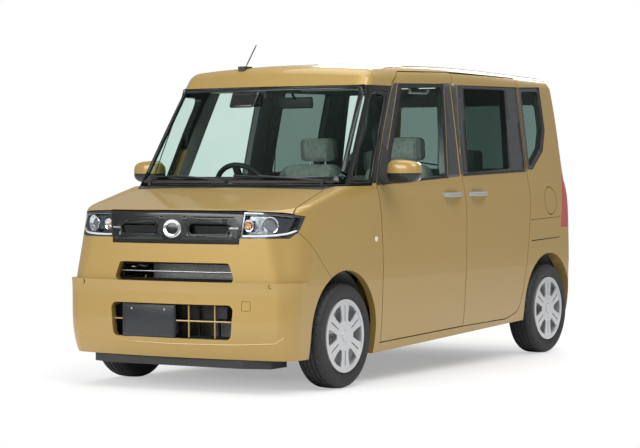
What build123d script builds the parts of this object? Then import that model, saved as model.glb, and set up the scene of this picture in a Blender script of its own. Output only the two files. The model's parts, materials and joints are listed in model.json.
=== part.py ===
from build123d import *
from collections import namedtuple
from math import cos, sin, radians, sqrt
import os

os.makedirs("parts", exist_ok=True)

# A tall one-box small car with hinged front doors and sliding rear doors.
# Millimetres. Nose to -Y, the car's left side to +X, +Z up.
# The origin is on the ground, at the middle of the length and the width.

# overall
body_length = 3395.0
half_width = 737.0
roof_height = 1755.0
belt_height = 1060.0
nose_line = -body_length / 2
tail_line = body_length / 2

# running gear
front_axle_y = -1125.0
rear_axle_y = 1335.0
wheel_x = 650.0
tyre_radius = 277.0
tyre_width = 155.0
rim_radius = 184.0
rim_width = 124.0
hub_height = tyre_radius
arch_height = 294.0
arch_radius = 327.0
kingpin_x = 600.0
steering_lock = 35.0

# walls and gaps
door_wall = 72.0
pillar_wall = 42.0
panel_wall = 36.0
bonnet_wall = 26.0
lens_wall = 4.0
glass_depth = 3.0
glass_wall = 4.5
shut_gap = 6.0
clearance = 6.0
eave_radius = 90.0
bonnet_edge_radius = 34.0

# doors
door_front_y = -735.0
door_split_y = 223.0
slide_rear_y = 1078.0
door_bottom_front = 217.0
door_bottom_rear = 249.0
door_top = 1700.0

# The body is a stack of level outlines. Each one is a bowed nose, bowed sides and a bowed tail.
# side: half width. nose, tail: y at the centre line. bow: how far the corner lies behind it.
# taper: how far the corner lies inside the side. r: corner radius.
Level = namedtuple("Level", "z side nose nose_bow nose_taper nose_r tail tail_bow tail_taper tail_r")
bumper_levels = [
    Level(150, 700, -1648, 55, 8, 95, 1668, 12, 10, 68),
    Level(250, 719, -1690, 62, 10, 104, 1694, 12, 9, 70),
    Level(420, 731, nose_line, 63, 11, 108, tail_line, 12, 8, 72),
    Level(575, half_width, nose_line, 63, 12, 112, tail_line, 12, 8, 72),
]
body_levels = [
    Level(560, half_width, -1672, 62, 10, 150, 1694, 12, 8, 70),
    Level(700, half_width, -1668, 74, 14, 190, 1691, 12, 8, 70),
    Level(830, 735, -1662, 82, 22, 215, 1690, 12, 8, 70),
    Level(943, 729, -1652, 86, 28, 220, 1689, 12, 8, 70),
    Level(1075, 703, -1628, 88, 38, 220, 1688, 14, 10, 68),
]
cabin_levels = [
    Level(1000, 718, -1186, 114, 30, 48, 1690, 14, 10, 66),
    Level(1075, 703, -1137, 110, 28, 52, 1688, 15, 10, 66),
    Level(1340, 668, -955, 92, 22, 70, 1681, 16, 10, 72),
    Level(1610, 632, -772, 76, 16, 100, 1668, 18, 10, 85),
    Level(1800, 610, -646, 70, 14, 120, 1648, 20, 10, 110),
]

# The crowned bonnet and roof. centre, edge: height on the centre line and at the reach.
Crown = namedtuple("Crown", "y centre edge reach")
bonnet_crowns = [Crown(-1760, 923, 876, 780), Crown(-1040, 1076, 1064, 780)]
roof_crowns = [
    Crown(-1000, 1678, 1642, 640),
    Crown(-50, roof_height + 1, 1720, 640),
    Crown(800, 1752, 1716, 640),
    Crown(1800, 1731, 1694, 640),
]


def outline(level, inset):
    nose_x = level.side - level.nose_taper - inset
    nose_y = level.nose + level.nose_bow + inset
    tail_x = level.side - level.tail_taper - inset
    tail_y = level.tail - level.tail_bow - inset
    side = level.side - inset
    with BuildSketch(Plane.XY.offset(level.z)) as ring:
        with BuildLine():
            ThreePointArc((-nose_x, nose_y), (0, level.nose + inset), (nose_x, nose_y))
            ThreePointArc((nose_x, nose_y), (side, 0), (tail_x, tail_y))
            ThreePointArc((tail_x, tail_y), (0, level.tail - inset), (-tail_x, tail_y))
            ThreePointArc((-tail_x, tail_y), (-side, 0), (-nose_x, nose_y))
        make_face()
        fillet(ring.vertices().sort_by(Axis.Y)[:2], max(level.nose_r - inset, 12))
        fillet(ring.vertices().sort_by(Axis.Y)[-2:], max(level.tail_r - inset, 12))
    return ring.sketch.face()


def crown_cutter(crowns, drop):
    sections = []
    for crown in crowns:
        reach = crown.reach
        edge = crown.edge - drop
        with BuildSketch(Plane.XZ.offset(-crown.y)) as section:
            with BuildLine():
                ThreePointArc((-reach, edge), (0, crown.centre - drop), (reach, edge))
                Polyline((reach, edge), (reach + 260, edge - 45), (reach + 260, 2100),
                         (-reach - 260, 2100), (-reach - 260, edge - 45), (-reach, edge))
            make_face()
        sections.append(section.sketch.face())
    with BuildPart() as cutter:
        loft(sections)
    return cutter.part


def block(x, y, z):
    with BuildPart() as cut:
        with Locations(((x[0] + x[1]) / 2, (y[0] + y[1]) / 2, (z[0] + z[1]) / 2)):
            Box(x[1] - x[0], y[1] - y[0], z[1] - z[0])
    return cut.part


# A side-view outline in (y, z), a front-view one in (x, z) and a plan one in (x, y), as prisms.
def side_prism(points, low=0.0, high=900.0, corner=0.0):
    with BuildPart() as prism:
        with BuildSketch(Plane.YZ.offset(low)) as view:
            with BuildLine():
                Polyline(*points, close=True)
            make_face()
            if corner > 0:
                fillet(view.vertices(), corner)
        extrude(amount=high - low)
    return prism.part


def front_prism(points, low, high, corner=0.0):
    with BuildPart() as prism:
        with BuildSketch(Plane.XZ.offset(-high)) as view:
            with BuildLine():
                Polyline(*points, close=True)
            make_face()
            if corner > 0:
                fillet(view.vertices(), corner)
        extrude(amount=high - low)
    return prism.part


def plan_prism(points, low, high):
    with BuildPart() as prism:
        with BuildSketch(Plane.XY.offset(low)):
            with BuildLine():
                Polyline(*points, close=True)
            make_face()
        extrude(amount=high - low)
    return prism.part


def lower_form(inset, drop, edge_r):
    with BuildPart() as form:
        loft([outline(level, inset) for level in body_levels])
        add(block((-1200, 1200), (-2000, 2000), (belt_height - drop, 1400)), mode=Mode.SUBTRACT)
        add(crown_cutter(bonnet_crowns, drop), mode=Mode.SUBTRACT)
        if edge_r > 0:
            shoulder = [e for e in form.edges() if e.center().Z > 860 and e.center().Y < -1150
                        and e.bounding_box().size.Z
                        < 0.6 * max(e.bounding_box().size.X, e.bounding_box().size.Y)]
            fillet(shoulder, edge_r)
    return form.part


def bumper_form(inset):
    with BuildPart() as form:
        loft([outline(level, inset) for level in bumper_levels])
    return form.part


def cabin_form(inset, edge_r):
    with BuildPart() as form:
        loft([outline(level, inset) for level in cabin_levels])
        add(block((-1200, 1200), (-2000, 2000), (700, belt_height)), mode=Mode.SUBTRACT)
        add(crown_cutter(roof_crowns, inset), mode=Mode.SUBTRACT)
        fillet([e for e in form.edges() if e.bounding_box().min.Z > 1560], edge_r)
    return form.part


# the car's outer form and the hollow inside it
lower = lower_form(0, 0, bonnet_edge_radius)
lower_room = lower_form(door_wall, bonnet_wall, 0)
nose_room = lower_form(panel_wall, bonnet_wall, 0)
lens_room = lower_form(lens_wall, lens_wall, 0)
bumper = bumper_form(0)
bumper_room = bumper_form(door_wall)
front_room = bumper_form(panel_wall)
cabin = cabin_form(0, eave_radius)
cabin_room = cabin_form(pillar_wall, eave_radius - pillar_wall)
glass_outer = cabin_form(glass_depth, eave_radius - glass_depth)
glass_inner = cabin_form(glass_depth + glass_wall, eave_radius - glass_depth - glass_wall)

belt_opening = block((-628, 628), (-1000, 1600), (belt_height - 60, belt_height + 30))
left_half = block((0, 1200), (-2000, 2000), (0, 2200))

with BuildPart() as outer_left:
    add([lower, bumper, cabin])
    add(left_half, mode=Mode.INTERSECT)

with BuildPart() as room_left:
    add([lower_room, bumper_room, cabin_room, belt_opening])
    add(left_half, mode=Mode.INTERSECT)

with BuildPart() as nose_shell:
    add([lower, bumper])
    add(block((-1200, 1200), (-2000, -700), (0, 1400)), mode=Mode.INTERSECT)
    add([nose_room, front_room], mode=Mode.SUBTRACT)


def arch(y, radius, low, high):
    with BuildPart() as cut:
        with BuildSketch(Plane.YZ.offset(low)):
            with Locations((y, arch_height)):
                Circle(radius)
            with Locations((y, arch_height / 2 - 100)):
                Rectangle(2 * radius, arch_height + 200)
        extrude(amount=high - low)
    return cut.part


# The front door's hinge line stands just outside the skin and leans back at the top,
# so the door falls shut. The door's rear edge is a cylinder about that line.
door_hinge = Vector(half_width + 4, door_front_y, 600)
door_hinge_lean = 2.0
door_hinge_dir = Vector(0, sin(radians(door_hinge_lean)), cos(radians(door_hinge_lean)))
door_swing = door_split_y - door_front_y


def door_sweep(radius):
    with BuildPart() as cut:
        with BuildSketch(Plane(door_hinge - door_hinge_dir * 700, x_dir=(1, 0, 0), z_dir=door_hinge_dir)):
            Circle(radius)
        extrude(amount=2100)
    return cut.part


roof_edge_fall = 18.0 / 1500.0


def roof_edge(y):
    return door_top + 10 - (y - door_split_y) * roof_edge_fall


# side-view outlines, (y, z)
door_outline = [
    (door_front_y, door_bottom_front), (door_front_y, 1050), (-587, 1362), (-490, 1528),
    (-429, 1618), (-330, door_top - 12), (door_split_y + 80, door_top + 4),
    (door_split_y + 80, 243), (door_split_y, 243),
]
slide_outline = [
    (door_split_y - 260, 238), (770, door_bottom_rear), (889, 278), (938, 317), (978, 407),
    (1020, 587), (1044, 708), (slide_rear_y, 951), (1098, 1122), (1100, roof_edge(1100) - shut_gap),
    (door_split_y - 260, door_top),
]
sill_and_quarter = [
    (door_front_y - 5, 100), (door_front_y - 5, 211), (door_split_y, 237), (770, 243), (893, 273),
    (943, 313), (984, 405), (1026, 586), (1050, 707), (slide_rear_y + 6, 950), (1104, 1122),
    (1106, roof_edge(1106)), (1900, roof_edge(1900)), (1900, 100),
]
screen_pillar = [
    (-1200, belt_height), (door_front_y - 6, belt_height), (-593, 1362), (-496, 1528),
    (-442, 1608), (-900, 1608),
]
sill_line = [(-850, 158), (780, 216), (1800, 250), (1800, -100), (-850, -100)]
roof_line = [
    (-900, 1608), (-448, 1608), (-432 - shut_gap, 1630), (-336, door_top - 6),
    (door_split_y + 80, roof_edge(door_split_y + 80)), (1900, roof_edge(1900)),
    (1900, 1950), (-900, 1950),
]
bumper_line = [
    (-1900, 100), (-1900, 797), (-1560, 800), (-1518, 829), (-1294, 605), (-1125, 436), (-1125, 100),
]
lamp_line = [(-1900, 797), (-1560, 800), (-1518, 829), (-1469, 909), (-1560, 926), (-1640, 937), (-1900, 937)]
tail_lamp_line = [(1606, 1104), (1556, 1000), (1508, 775), (1900, 775), (1900, 1104)]
rear_bumper_line = [(1500, 697), (1900, 697), (1900, 100), (1500, 100)]

# front-view outlines, (x, z)
lamp_inner_low = 402.0
lamp_inner_high = 424.0
grille_low = 772.0
grille_high = 937.0
tailgate_half = 585.0
tailgate_low = 705.0
tailgate_high = 1665.0

# plan outline of the bonnet, (x, y)
bonnet_rear_y = -1146.0
bonnet_plan = [
    (-606, bonnet_rear_y), (606, bonnet_rear_y), (655, -1500), (664, -1600), (664, -1900),
    (-664, -1900), (-664, -1600), (-655, -1500),
]
cowl_plan = [
    (-603, bonnet_rear_y + shut_gap), (603, bonnet_rear_y + shut_gap), (640, -1070), (640, -1000),
    (-640, -1000), (-640, -1070),
]


def grown(points, gap, centre):
    moved = []
    for u, v in points:
        du = gap if u > centre[0] else -gap
        dv = gap if v > centre[1] else -gap
        moved.append((u + du, v + dv))
    return moved


# Windows. outline: the pane, opening: the hole in the panel behind it, both (y, z).
Window = namedtuple("Window", "outline opening")
quarter_front = Window(
    [(-1000, 1076), (-752, 1076), (-603, 1362), (-506, 1528), (-478, 1580), (-655, 1592)],
    [(-960, 1096), (-772, 1096), (-634, 1362), (-548, 1512), (-536, 1556), (-660, 1562)])
door_window = Window(
    [(-668, 1064), (-372, 1624), (148, 1636), (68, 1094)],
    [(-608, 1078), (-336, 1604), (128, 1616), (49, 1106)])
slide_window = Window(
    [(252, 1112), (272, 1400), (308, 1632), (1084, 1640), (1080, 1132)],
    [(323, 1124), (388, 1615), (922, 1619), (861, 1142)])
quarter_rear = Window(
    [(1120, 1134), (1124, 1640), (1424, 1648), (1430, 1380), (1366, 1250), (1188, 1138)],
    [(1150, 1158), (1152, 1614), (1400, 1622), (1404, 1386), (1344, 1268), (1184, 1164)])
windscreen = Window(
    [(-662, 1066), (662, 1066), (600, 1606), (-600, 1606)],
    [(-628, 1112), (628, 1112), (576, 1584), (-576, 1584)])
rear_window = Window(
    [(-556, 1112), (556, 1112), (522, 1572), (-522, 1572)],
    [(-526, 1142), (526, 1142), (494, 1544), (-494, 1544)])


def side_rebate(window):
    with BuildPart() as cut:
        add(side_prism(window.outline, low=300, corner=14))
        add(glass_inner, mode=Mode.SUBTRACT)
    return cut.part


def side_pane(window):
    with BuildPart() as cut:
        with BuildSketch(Plane.YZ.offset(300)) as view:
            with BuildLine():
                Polyline(*window.outline, close=True)
            make_face()
            fillet(view.vertices(), 14)
            offset(amount=-1.2)
        extrude(amount=600)
        add(glass_outer, mode=Mode.INTERSECT)
        add(glass_inner, mode=Mode.SUBTRACT)
    return cut.part


def end_rebate(window, low, high):
    with BuildPart() as cut:
        add(front_prism(window.outline, low, high, corner=30))
        add(glass_inner, mode=Mode.SUBTRACT)
    return cut.part


def end_pane(window, low, high):
    with BuildPart() as cut:
        with BuildSketch(Plane.XZ.offset(-high)) as view:
            with BuildLine():
                Polyline(*window.outline, close=True)
            make_face()
            fillet(view.vertices(), 30)
            offset(amount=-1.2)
        extrude(amount=high - low)
        add(glass_outer, mode=Mode.INTERSECT)
        add(glass_inner, mode=Mode.SUBTRACT)
    return cut.part


# fuel filler lid
lid_y = 1373.0
lid_z = 943.0
lid_radius = 82.0
lid_gap = 5.5
lid_wall = 12.0
lid_floor = half_width - 72.0

# door handles: a bar over a round cup
handle_front_y = 75.0
handle_slide_y = 390.0
handle_z = 1000.0
handle_length = 236.0
cup_radius = 74.0
cup_depth = 14.0


def handle_cup(y):
    ball = (cup_radius ** 2 + cup_depth ** 2) / (2 * cup_depth)
    with BuildPart() as cut:
        with Locations((skin_at_handle - cup_depth + ball, y, handle_z)):
            Sphere(ball)
    return cut.part


skin_at_handle = 722.0

# front face outlines, (x, z)
grille_reach = lamp_inner_low - 3
grille_outline = [
    (-grille_reach, grille_low), (grille_reach, grille_low), (lamp_inner_high - 3, grille_high),
    (-lamp_inner_high + 3, grille_high),
]
upper_intake = [(-382, 574), (382, 574), (345, 672), (-345, 672)]
lower_intake = [(-372, 280), (372, 280), (388, 458), (-388, 458)]
grid_y = -1592.0
bumper_bottom = 178.0
fender_outline = [
    (door_front_y - shut_gap, 140), (door_front_y - shut_gap, belt_height + 5), (-1690, belt_height + 5),
    (-1690, 940), (-1640, 940), (-1560, 929), (-1465, 911), (-1514, 829), (-1290, 605),
    (-1125, 440), (-1125, 140),
]
bonnet_side = [
    (-1900, 944), (-1640, 944), (-1560, 933), (-1462, 914), (-1380, 860), (-1000, 860),
    (-1000, 1250), (-1900, 1250),
]
bonnet_plan_grown = [
    (-612, bonnet_rear_y), (612, bonnet_rear_y), (661, -1500), (670, -1600), (670, -1900),
    (-670, -1900), (-670, -1600), (-661, -1500),
]
lamp_hollow_line = [
    (-1900, 805), (-1562, 808), (-1528, 832), (-1486, 902), (-1562, 918), (-1640, 929), (-1900, 929),
]
with BuildPart() as lid_back:
    add(outer_left.part)
lid_room = Pos(-lid_wall, 0, 0) * lid_back.part

seat_gap = 0.6
post_y = (-785, door_front_y - 9)
front_arch = arch(front_axle_y, arch_radius, 300, 900)
rear_arch = arch(rear_axle_y, arch_radius, 300, 900)
front_arch_right = arch(front_axle_y, arch_radius, -900, -300)

# fixed shell
with BuildPart() as body_sides:
    add([side_prism(sill_and_quarter), side_prism(screen_pillar)])
    add(outer_left.part, mode=Mode.INTERSECT)
    add([
        room_left.part,
        front_prism([(-10, 1040), (668, 1060), (603, 1612), (603, 1900), (-10, 1900)], -1300, -640),
        block((-10, 560), (-1300, 1500), (0, 1900)),
        block((-10, tailgate_half + shut_gap), (1400, 1900), (690, 1900)),
    ], mode=Mode.SUBTRACT)
    add([
        block((584, 634), (-785, 800), (205, 320)),
        block((584, 630), (-785, 800), (160, 236)),
        block((596, 640), post_y, (205, belt_height + 15)),
        block((596, 697), post_y, (belt_height - 60, belt_height + 15)),
        block((630, 692), (door_front_y - 14, door_front_y - seat_gap), (480, 570)),
        block((630, 680), (door_front_y - 14, door_front_y - seat_gap), (860, 950)),
    ])
    add([
        side_prism(sill_line), side_prism(tail_lamp_line), side_prism(rear_bumper_line, low=-10),
        rear_arch, front_arch,
        side_rebate(quarter_front), side_prism(quarter_front.opening, corner=12),
        side_rebate(quarter_rear), side_prism(quarter_rear.opening, corner=12),
    ], mode=Mode.SUBTRACT)
    mirror(about=Plane.YZ)
    # the fuel filler's pocket, on the left only
    with BuildSketch(Plane.YZ.offset(lid_floor)):
        with Locations((lid_y, lid_z)):
            Circle(lid_radius + lid_gap)
    extrude(amount=200, mode=Mode.SUBTRACT)
    add(block((690, 718), (lid_y - lid_radius - lid_gap - 4, lid_y - lid_radius - seat_gap),
              (lid_z - 10, lid_z + 10)))
body_sides.part.label = "body_sides"
export_step(body_sides.part, "parts/body_sides.step")

with BuildPart() as fuel_lid:
    with BuildSketch(Plane.YZ.offset(600)):
        with Locations((lid_y, lid_z)):
            Circle(lid_radius)
    extrude(amount=300)
    add(outer_left.part, mode=Mode.INTERSECT)
    add(lid_room, mode=Mode.SUBTRACT)
fuel_lid.part.label = "fuel_lid"
export_step(fuel_lid.part, "parts/fuel_lid.step")

with BuildPart() as roof_panel:
    add(side_prism(roof_line, low=-900))
    add(block((-tailgate_half, tailgate_half), (1440, 1900), (tailgate_high + shut_gap, door_top + 30)))
    add(cabin, mode=Mode.INTERSECT)
    add(cabin_room, mode=Mode.SUBTRACT)
    for x in (-380, 380):
        add(block((x - 30, x + 30), (1600, 1636), (tailgate_high + seat_gap, tailgate_high + 20)))
roof_panel.part.label = "roof_panel"
export_step(roof_panel.part, "parts/roof_panel.step")

with BuildPart() as cowl_panel:
    add(plan_prism(cowl_plan, belt_height - bonnet_wall, belt_height))
    add(lower, mode=Mode.INTERSECT)
    add(block((-598, 598), (-1040, -1000), (1010, belt_height + 4)))
    for x in (-520, 520):
        add(block((x - 30, x + 30), (bonnet_rear_y + seat_gap, bonnet_rear_y + 20), (1034, 1043)))
cowl_panel.part.label = "cowl_panel"
export_step(cowl_panel.part, "parts/cowl_panel.step")

with BuildPart() as front_fenders:
    add(side_prism(fender_outline))
    add(nose_shell.part, mode=Mode.INTERSECT)
    add([
        plan_prism(bonnet_plan_grown, 850, 1200), plan_prism(cowl_plan, 900, 1200),
        block((-10, 603), (-1146, -700), (900, 1200)),
        block((590, 700), (post_y[0] - 2, post_y[1] + 20), (belt_height - 62, belt_height + 20)),
        front_arch, side_prism(sill_line),
    ], mode=Mode.SUBTRACT)
    mirror(about=Plane.YZ)
front_fenders.part.label = "front_fenders"
export_step(front_fenders.part, "parts/front_fenders.step")

with BuildPart() as bonnet:
    add(plan_prism(bonnet_plan, 850, 1200))
    add(side_prism(bonnet_side, low=-900), mode=Mode.INTERSECT)
    add(nose_shell.part, mode=Mode.INTERSECT)
    add(block((-432, 432), (-1900, -1400), (800, 943)), mode=Mode.SUBTRACT)
bonnet.part.label = "bonnet"
export_step(bonnet.part, "parts/bonnet.step")

with BuildPart() as front_bumper:
    add(side_prism(bumper_line, low=-900))
    add(nose_shell.part, mode=Mode.INTERSECT)
    add([
        front_prism([(-grille_reach - 3, grille_low - 3), (grille_reach + 3, grille_low - 3),
                     (grille_reach + 12, 1000), (-grille_reach - 12, 1000)], -1900, -1400),
        front_prism(upper_intake, -1900, -1500, corner=18),
        front_prism(lower_intake, -1900, -1500, corner=30),
        block((-900, 900), (-1900, -1000), (0, bumper_bottom)),
        front_arch, front_arch_right,
    ], mode=Mode.SUBTRACT)
front_bumper.part.label = "front_bumper"
export_step(front_bumper.part, "parts/front_bumper.step")



def slot_pair(side, near, far, low=796, high=906):
    return [(side * near, low), (side * far, low), (side * (far + 8), high), (side * near, high)]


with BuildPart() as grille_panel:
    add(front_prism(grille_outline, -1900, -1590))
    add(nose_shell.part, mode=Mode.INTERSECT)
    add([
        front_prism(slot_pair(1, 58, 384), -1900, -1633, corner=12),
        front_prism(slot_pair(-1, 58, 384), -1900, -1633, corner=12),
        front_prism(slot_pair(1, 66, 376, 806, 822), -1900, -1560, corner=6),
        front_prism(slot_pair(1, 66, 386, 862, 896), -1900, -1560, corner=12),
        front_prism(slot_pair(-1, 66, 376, 806, 822), -1900, -1560, corner=6),
        front_prism(slot_pair(-1, 66, 386, 862, 896), -1900, -1560, corner=12),
    ], mode=Mode.SUBTRACT)
grille_panel.part.label = "grille_panel"
export_step(grille_panel.part, "parts/grille_panel.step")

# open grids behind the two intakes, hung on one frame behind the bumper
with BuildPart() as intake_grille:
    with BuildSketch(Plane.XZ.offset(-grid_y)):
        with Locations((0, (upper_intake[0][1] + upper_intake[2][1]) / 2)):
            Rectangle(780, 124)
        with Locations((0, (lower_intake[0][1] + lower_intake[2][1]) / 2)):
            Rectangle(780, 208)
        with Locations((-330, 500), (330, 500)):
            Rectangle(40, 200)
        with Locations((0, (upper_intake[0][1] + upper_intake[2][1]) / 2)):
            Rectangle(700, 76, mode=Mode.SUBTRACT)
        with Locations((0, (lower_intake[0][1] + lower_intake[2][1]) / 2)):
            Rectangle(750, 158, mode=Mode.SUBTRACT)
        with Locations((0, 620)):
            Rectangle(700, 8)
        with Locations((0, 369)):
            Rectangle(750, 9)
        with GridLocations(125, 1, 5, 1):
            with Locations((0, 369)):
                Rectangle(9, 160)
    extrude(amount=14)
    for x in (-330, 330):
        add(block((x - 15, x + 15), (-1675, grid_y - 10), (480, 530)))
    add(front_bumper.part, mode=Mode.SUBTRACT)
intake_grille.part.label = "intake_grille"
export_step(intake_grille.part, "parts/intake_grille.step")

# headlamps: an open bowl behind a clear skin
with BuildPart() as lamp_block:
    add(side_prism(lamp_line))
    add(front_prism([(lamp_inner_low, 700), (lamp_inner_low, grille_low), (lamp_inner_high, 960),
                     (900, 960), (900, 700)], -1900, -1300), mode=Mode.INTERSECT)
with BuildPart() as lamp_hollow:
    add(side_prism(lamp_hollow_line))
    add(front_prism([(lamp_inner_low + 8, 700), (lamp_inner_low + 8, grille_low),
                     (lamp_inner_high + 8, 960), (900, 960), (900, 700)], -1900, -1300),
        mode=Mode.INTERSECT)

with BuildPart() as headlamp_lenses:
    add(lamp_block.part)
    add(lower, mode=Mode.INTERSECT)
    add(lens_room, mode=Mode.SUBTRACT)
    mirror(about=Plane.YZ)
headlamp_lenses.part.label = "headlamp_lenses"
export_step(headlamp_lenses.part, "parts/headlamp_lenses.step")

with BuildPart() as lamp_core:
    add(lamp_hollow.part)
    add(nose_room, mode=Mode.SUBTRACT)

with BuildPart() as headlamp_housings:
    add(lamp_block.part)
    add(lens_room, mode=Mode.INTERSECT)
    add([lower_room, lamp_core.part], mode=Mode.SUBTRACT)
    mirror(about=Plane.YZ)
headlamp_housings.part.label = "headlamp_housings"
export_step(headlamp_housings.part, "parts/headlamp_housings.step")

with BuildPart() as rear_bumper:
    add(side_prism(rear_bumper_line))
    add(outer_left.part, mode=Mode.INTERSECT)
    add([room_left.part, rear_arch, side_prism(sill_line)], mode=Mode.SUBTRACT)
    mirror(about=Plane.YZ)
rear_bumper.part.label = "rear_bumper"
export_step(rear_bumper.part, "parts/rear_bumper.step")

with BuildPart() as tail_lamps:
    add(side_prism(tail_lamp_line, low=tailgate_half + shut_gap))
    add(outer_left.part, mode=Mode.INTERSECT)
    add(room_left.part, mode=Mode.SUBTRACT)
    mirror(about=Plane.YZ)
tail_lamps.part.label = "tail_lamps"
export_step(tail_lamps.part, "parts/tail_lamps.step")

with BuildPart() as tailgate:
    add(block((0, tailgate_half), (1500, 1900), (tailgate_low, tailgate_high)))
    add(outer_left.part, mode=Mode.INTERSECT)
    add([
        room_left.part, end_rebate(rear_window, 1500, 1900),
        front_prism(rear_window.opening, 1500, 1900, corner=30),
    ], mode=Mode.SUBTRACT)
    mirror(about=Plane.YZ)
tailgate.part.label = "tailgate"
export_step(tailgate.part, "parts/tailgate.step")

# doors
with BuildPart() as front_door_left:
    add(side_prism(door_outline, low=300))
    add(outer_left.part, mode=Mode.INTERSECT)
    add([
        room_left.part, side_rebate(door_window), side_prism(door_window.opening, low=300, corner=20),
        handle_cup(handle_front_y),
    ], mode=Mode.SUBTRACT)
    add(door_sweep(door_swing - shut_gap / 2), mode=Mode.INTERSECT)
front_door_left.part.label = "front_door_left"
export_step(front_door_left.part, "parts/front_door_left.step")

with BuildPart() as front_door_right:
    mirror(front_door_left.part, about=Plane.YZ)
front_door_right.part.label = "front_door_right"
export_step(front_door_right.part, "parts/front_door_right.step")

with BuildPart() as sliding_doors:
    add(side_prism(slide_outline, low=300))
    add(outer_left.part, mode=Mode.INTERSECT)
    add([
        room_left.part, side_rebate(slide_window), side_prism(slide_window.opening, low=300, corner=20),
        door_sweep(door_swing + shut_gap / 2), handle_cup(handle_slide_y),
    ], mode=Mode.SUBTRACT)
    add(block((690, 706), (500, 560), (240.6, 252)))
    mirror(about=Plane.YZ)
sliding_doors.part.label = "sliding_doors"
export_step(sliding_doors.part, "parts/sliding_doors.step")

# glass
with BuildPart() as windscreen_glass:
    add(end_pane(windscreen, -1300, -640))
windscreen_glass.part.label = "windscreen_glass"
export_step(windscreen_glass.part, "parts/windscreen_glass.step")

with BuildPart() as tailgate_glass:
    add(end_pane(rear_window, 1500, 1900))
tailgate_glass.part.label = "tailgate_glass"
export_step(tailgate_glass.part, "parts/tailgate_glass.step")

with BuildPart() as fixed_glass:
    add([side_pane(quarter_front), side_pane(quarter_rear)])
    mirror(about=Plane.YZ)
fixed_glass.part.label = "fixed_glass"
export_step(fixed_glass.part, "parts/fixed_glass.step")

with BuildPart() as sliding_door_glass:
    add(side_pane(slide_window))
    mirror(about=Plane.YZ)
sliding_door_glass.part.label = "sliding_door_glass"
export_step(sliding_door_glass.part, "parts/sliding_door_glass.step")

with BuildPart() as door_glass_left:
    add(side_pane(door_window))
door_glass_left.part.label = "door_glass_left"
export_step(door_glass_left.part, "parts/door_glass_left.step")

with BuildPart() as door_glass_right:
    mirror(door_glass_left.part, about=Plane.YZ)
door_glass_right.part.label = "door_glass_right"
export_step(door_glass_right.part, "parts/door_glass_right.step")

# door mirrors and handles
mirror_y = -700.0
mirror_z = 1136.0
mirror_out = 842.0

with BuildPart() as door_mirror_left:
    with BuildSketch(Plane.XZ.offset(-mirror_y + 42)):
        with Locations((mirror_out, mirror_z)):
            RectangleRounded(196, 140, 46)
    with BuildSketch(Plane.XZ.offset(-mirror_y - 46)):
        with Locations((mirror_out, mirror_z)):
            RectangleRounded(184, 128, 46)
    loft()
    with Locations((738, mirror_y + 10, 1084)):
        Box(110, 60, 26)
    add(side_prism([(-729, 1064), (-636, 1064), (-690, 1130)], low=670, high=712))
    add(outer_left.part, mode=Mode.SUBTRACT)
door_mirror_left.part.label = "door_mirror_left"
export_step(door_mirror_left.part, "parts/door_mirror_left.step")

with BuildPart() as door_mirror_right:
    mirror(door_mirror_left.part, about=Plane.YZ)
door_mirror_right.part.label = "door_mirror_right"
export_step(door_mirror_right.part, "parts/door_mirror_right.step")


def pull_handle(y):
    with BuildPart() as bar:
        with BuildSketch(Plane.XY.offset(handle_z - 13)):
            with BuildLine():
                ThreePointArc((720, y - handle_length / 2), (760, y), (720, y + handle_length / 2))
                ThreePointArc((720, y + handle_length / 2), (746, y), (720, y - handle_length / 2))
            make_face()
        extrude(amount=26)
        with Locations((722, y - handle_length / 2 + 16, handle_z), (722, y + handle_length / 2 - 16, handle_z)):
            Box(16, 24, 24)
    return bar.part


with BuildPart() as door_handle_left:
    add(pull_handle(handle_front_y))
    add(front_door_left.part, mode=Mode.SUBTRACT)
door_handle_left.part.label = "door_handle_left"
export_step(door_handle_left.part, "parts/door_handle_left.step")

with BuildPart() as door_handle_right:
    mirror(door_handle_left.part, about=Plane.YZ)
door_handle_right.part.label = "door_handle_right"
export_step(door_handle_right.part, "parts/door_handle_right.step")

with BuildPart() as sliding_door_handles:
    add(pull_handle(handle_slide_y))
    mirror(about=Plane.YZ)
    add(sliding_doors.part, mode=Mode.SUBTRACT)
sliding_door_handles.part.label = "sliding_door_handles"
export_step(sliding_door_handles.part, "parts/sliding_door_handles.step")

# floor and running gear
floor_top = 330.0
floor_sheet = 30.0
rear_floor_top = 560.0
tub_inner_x = 430.0

front_bay = arch(front_axle_y, arch_radius + 8.5, 425, 700)
front_bay_right = arch(front_axle_y, arch_radius + 8.5, -700, -425)

with BuildPart() as bumper_horns:
    with Locations((-300, -1630, 416), (300, -1630, 416)):
        Box(60, 110, 60)
    add(front_room, mode=Mode.INTERSECT)

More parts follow.
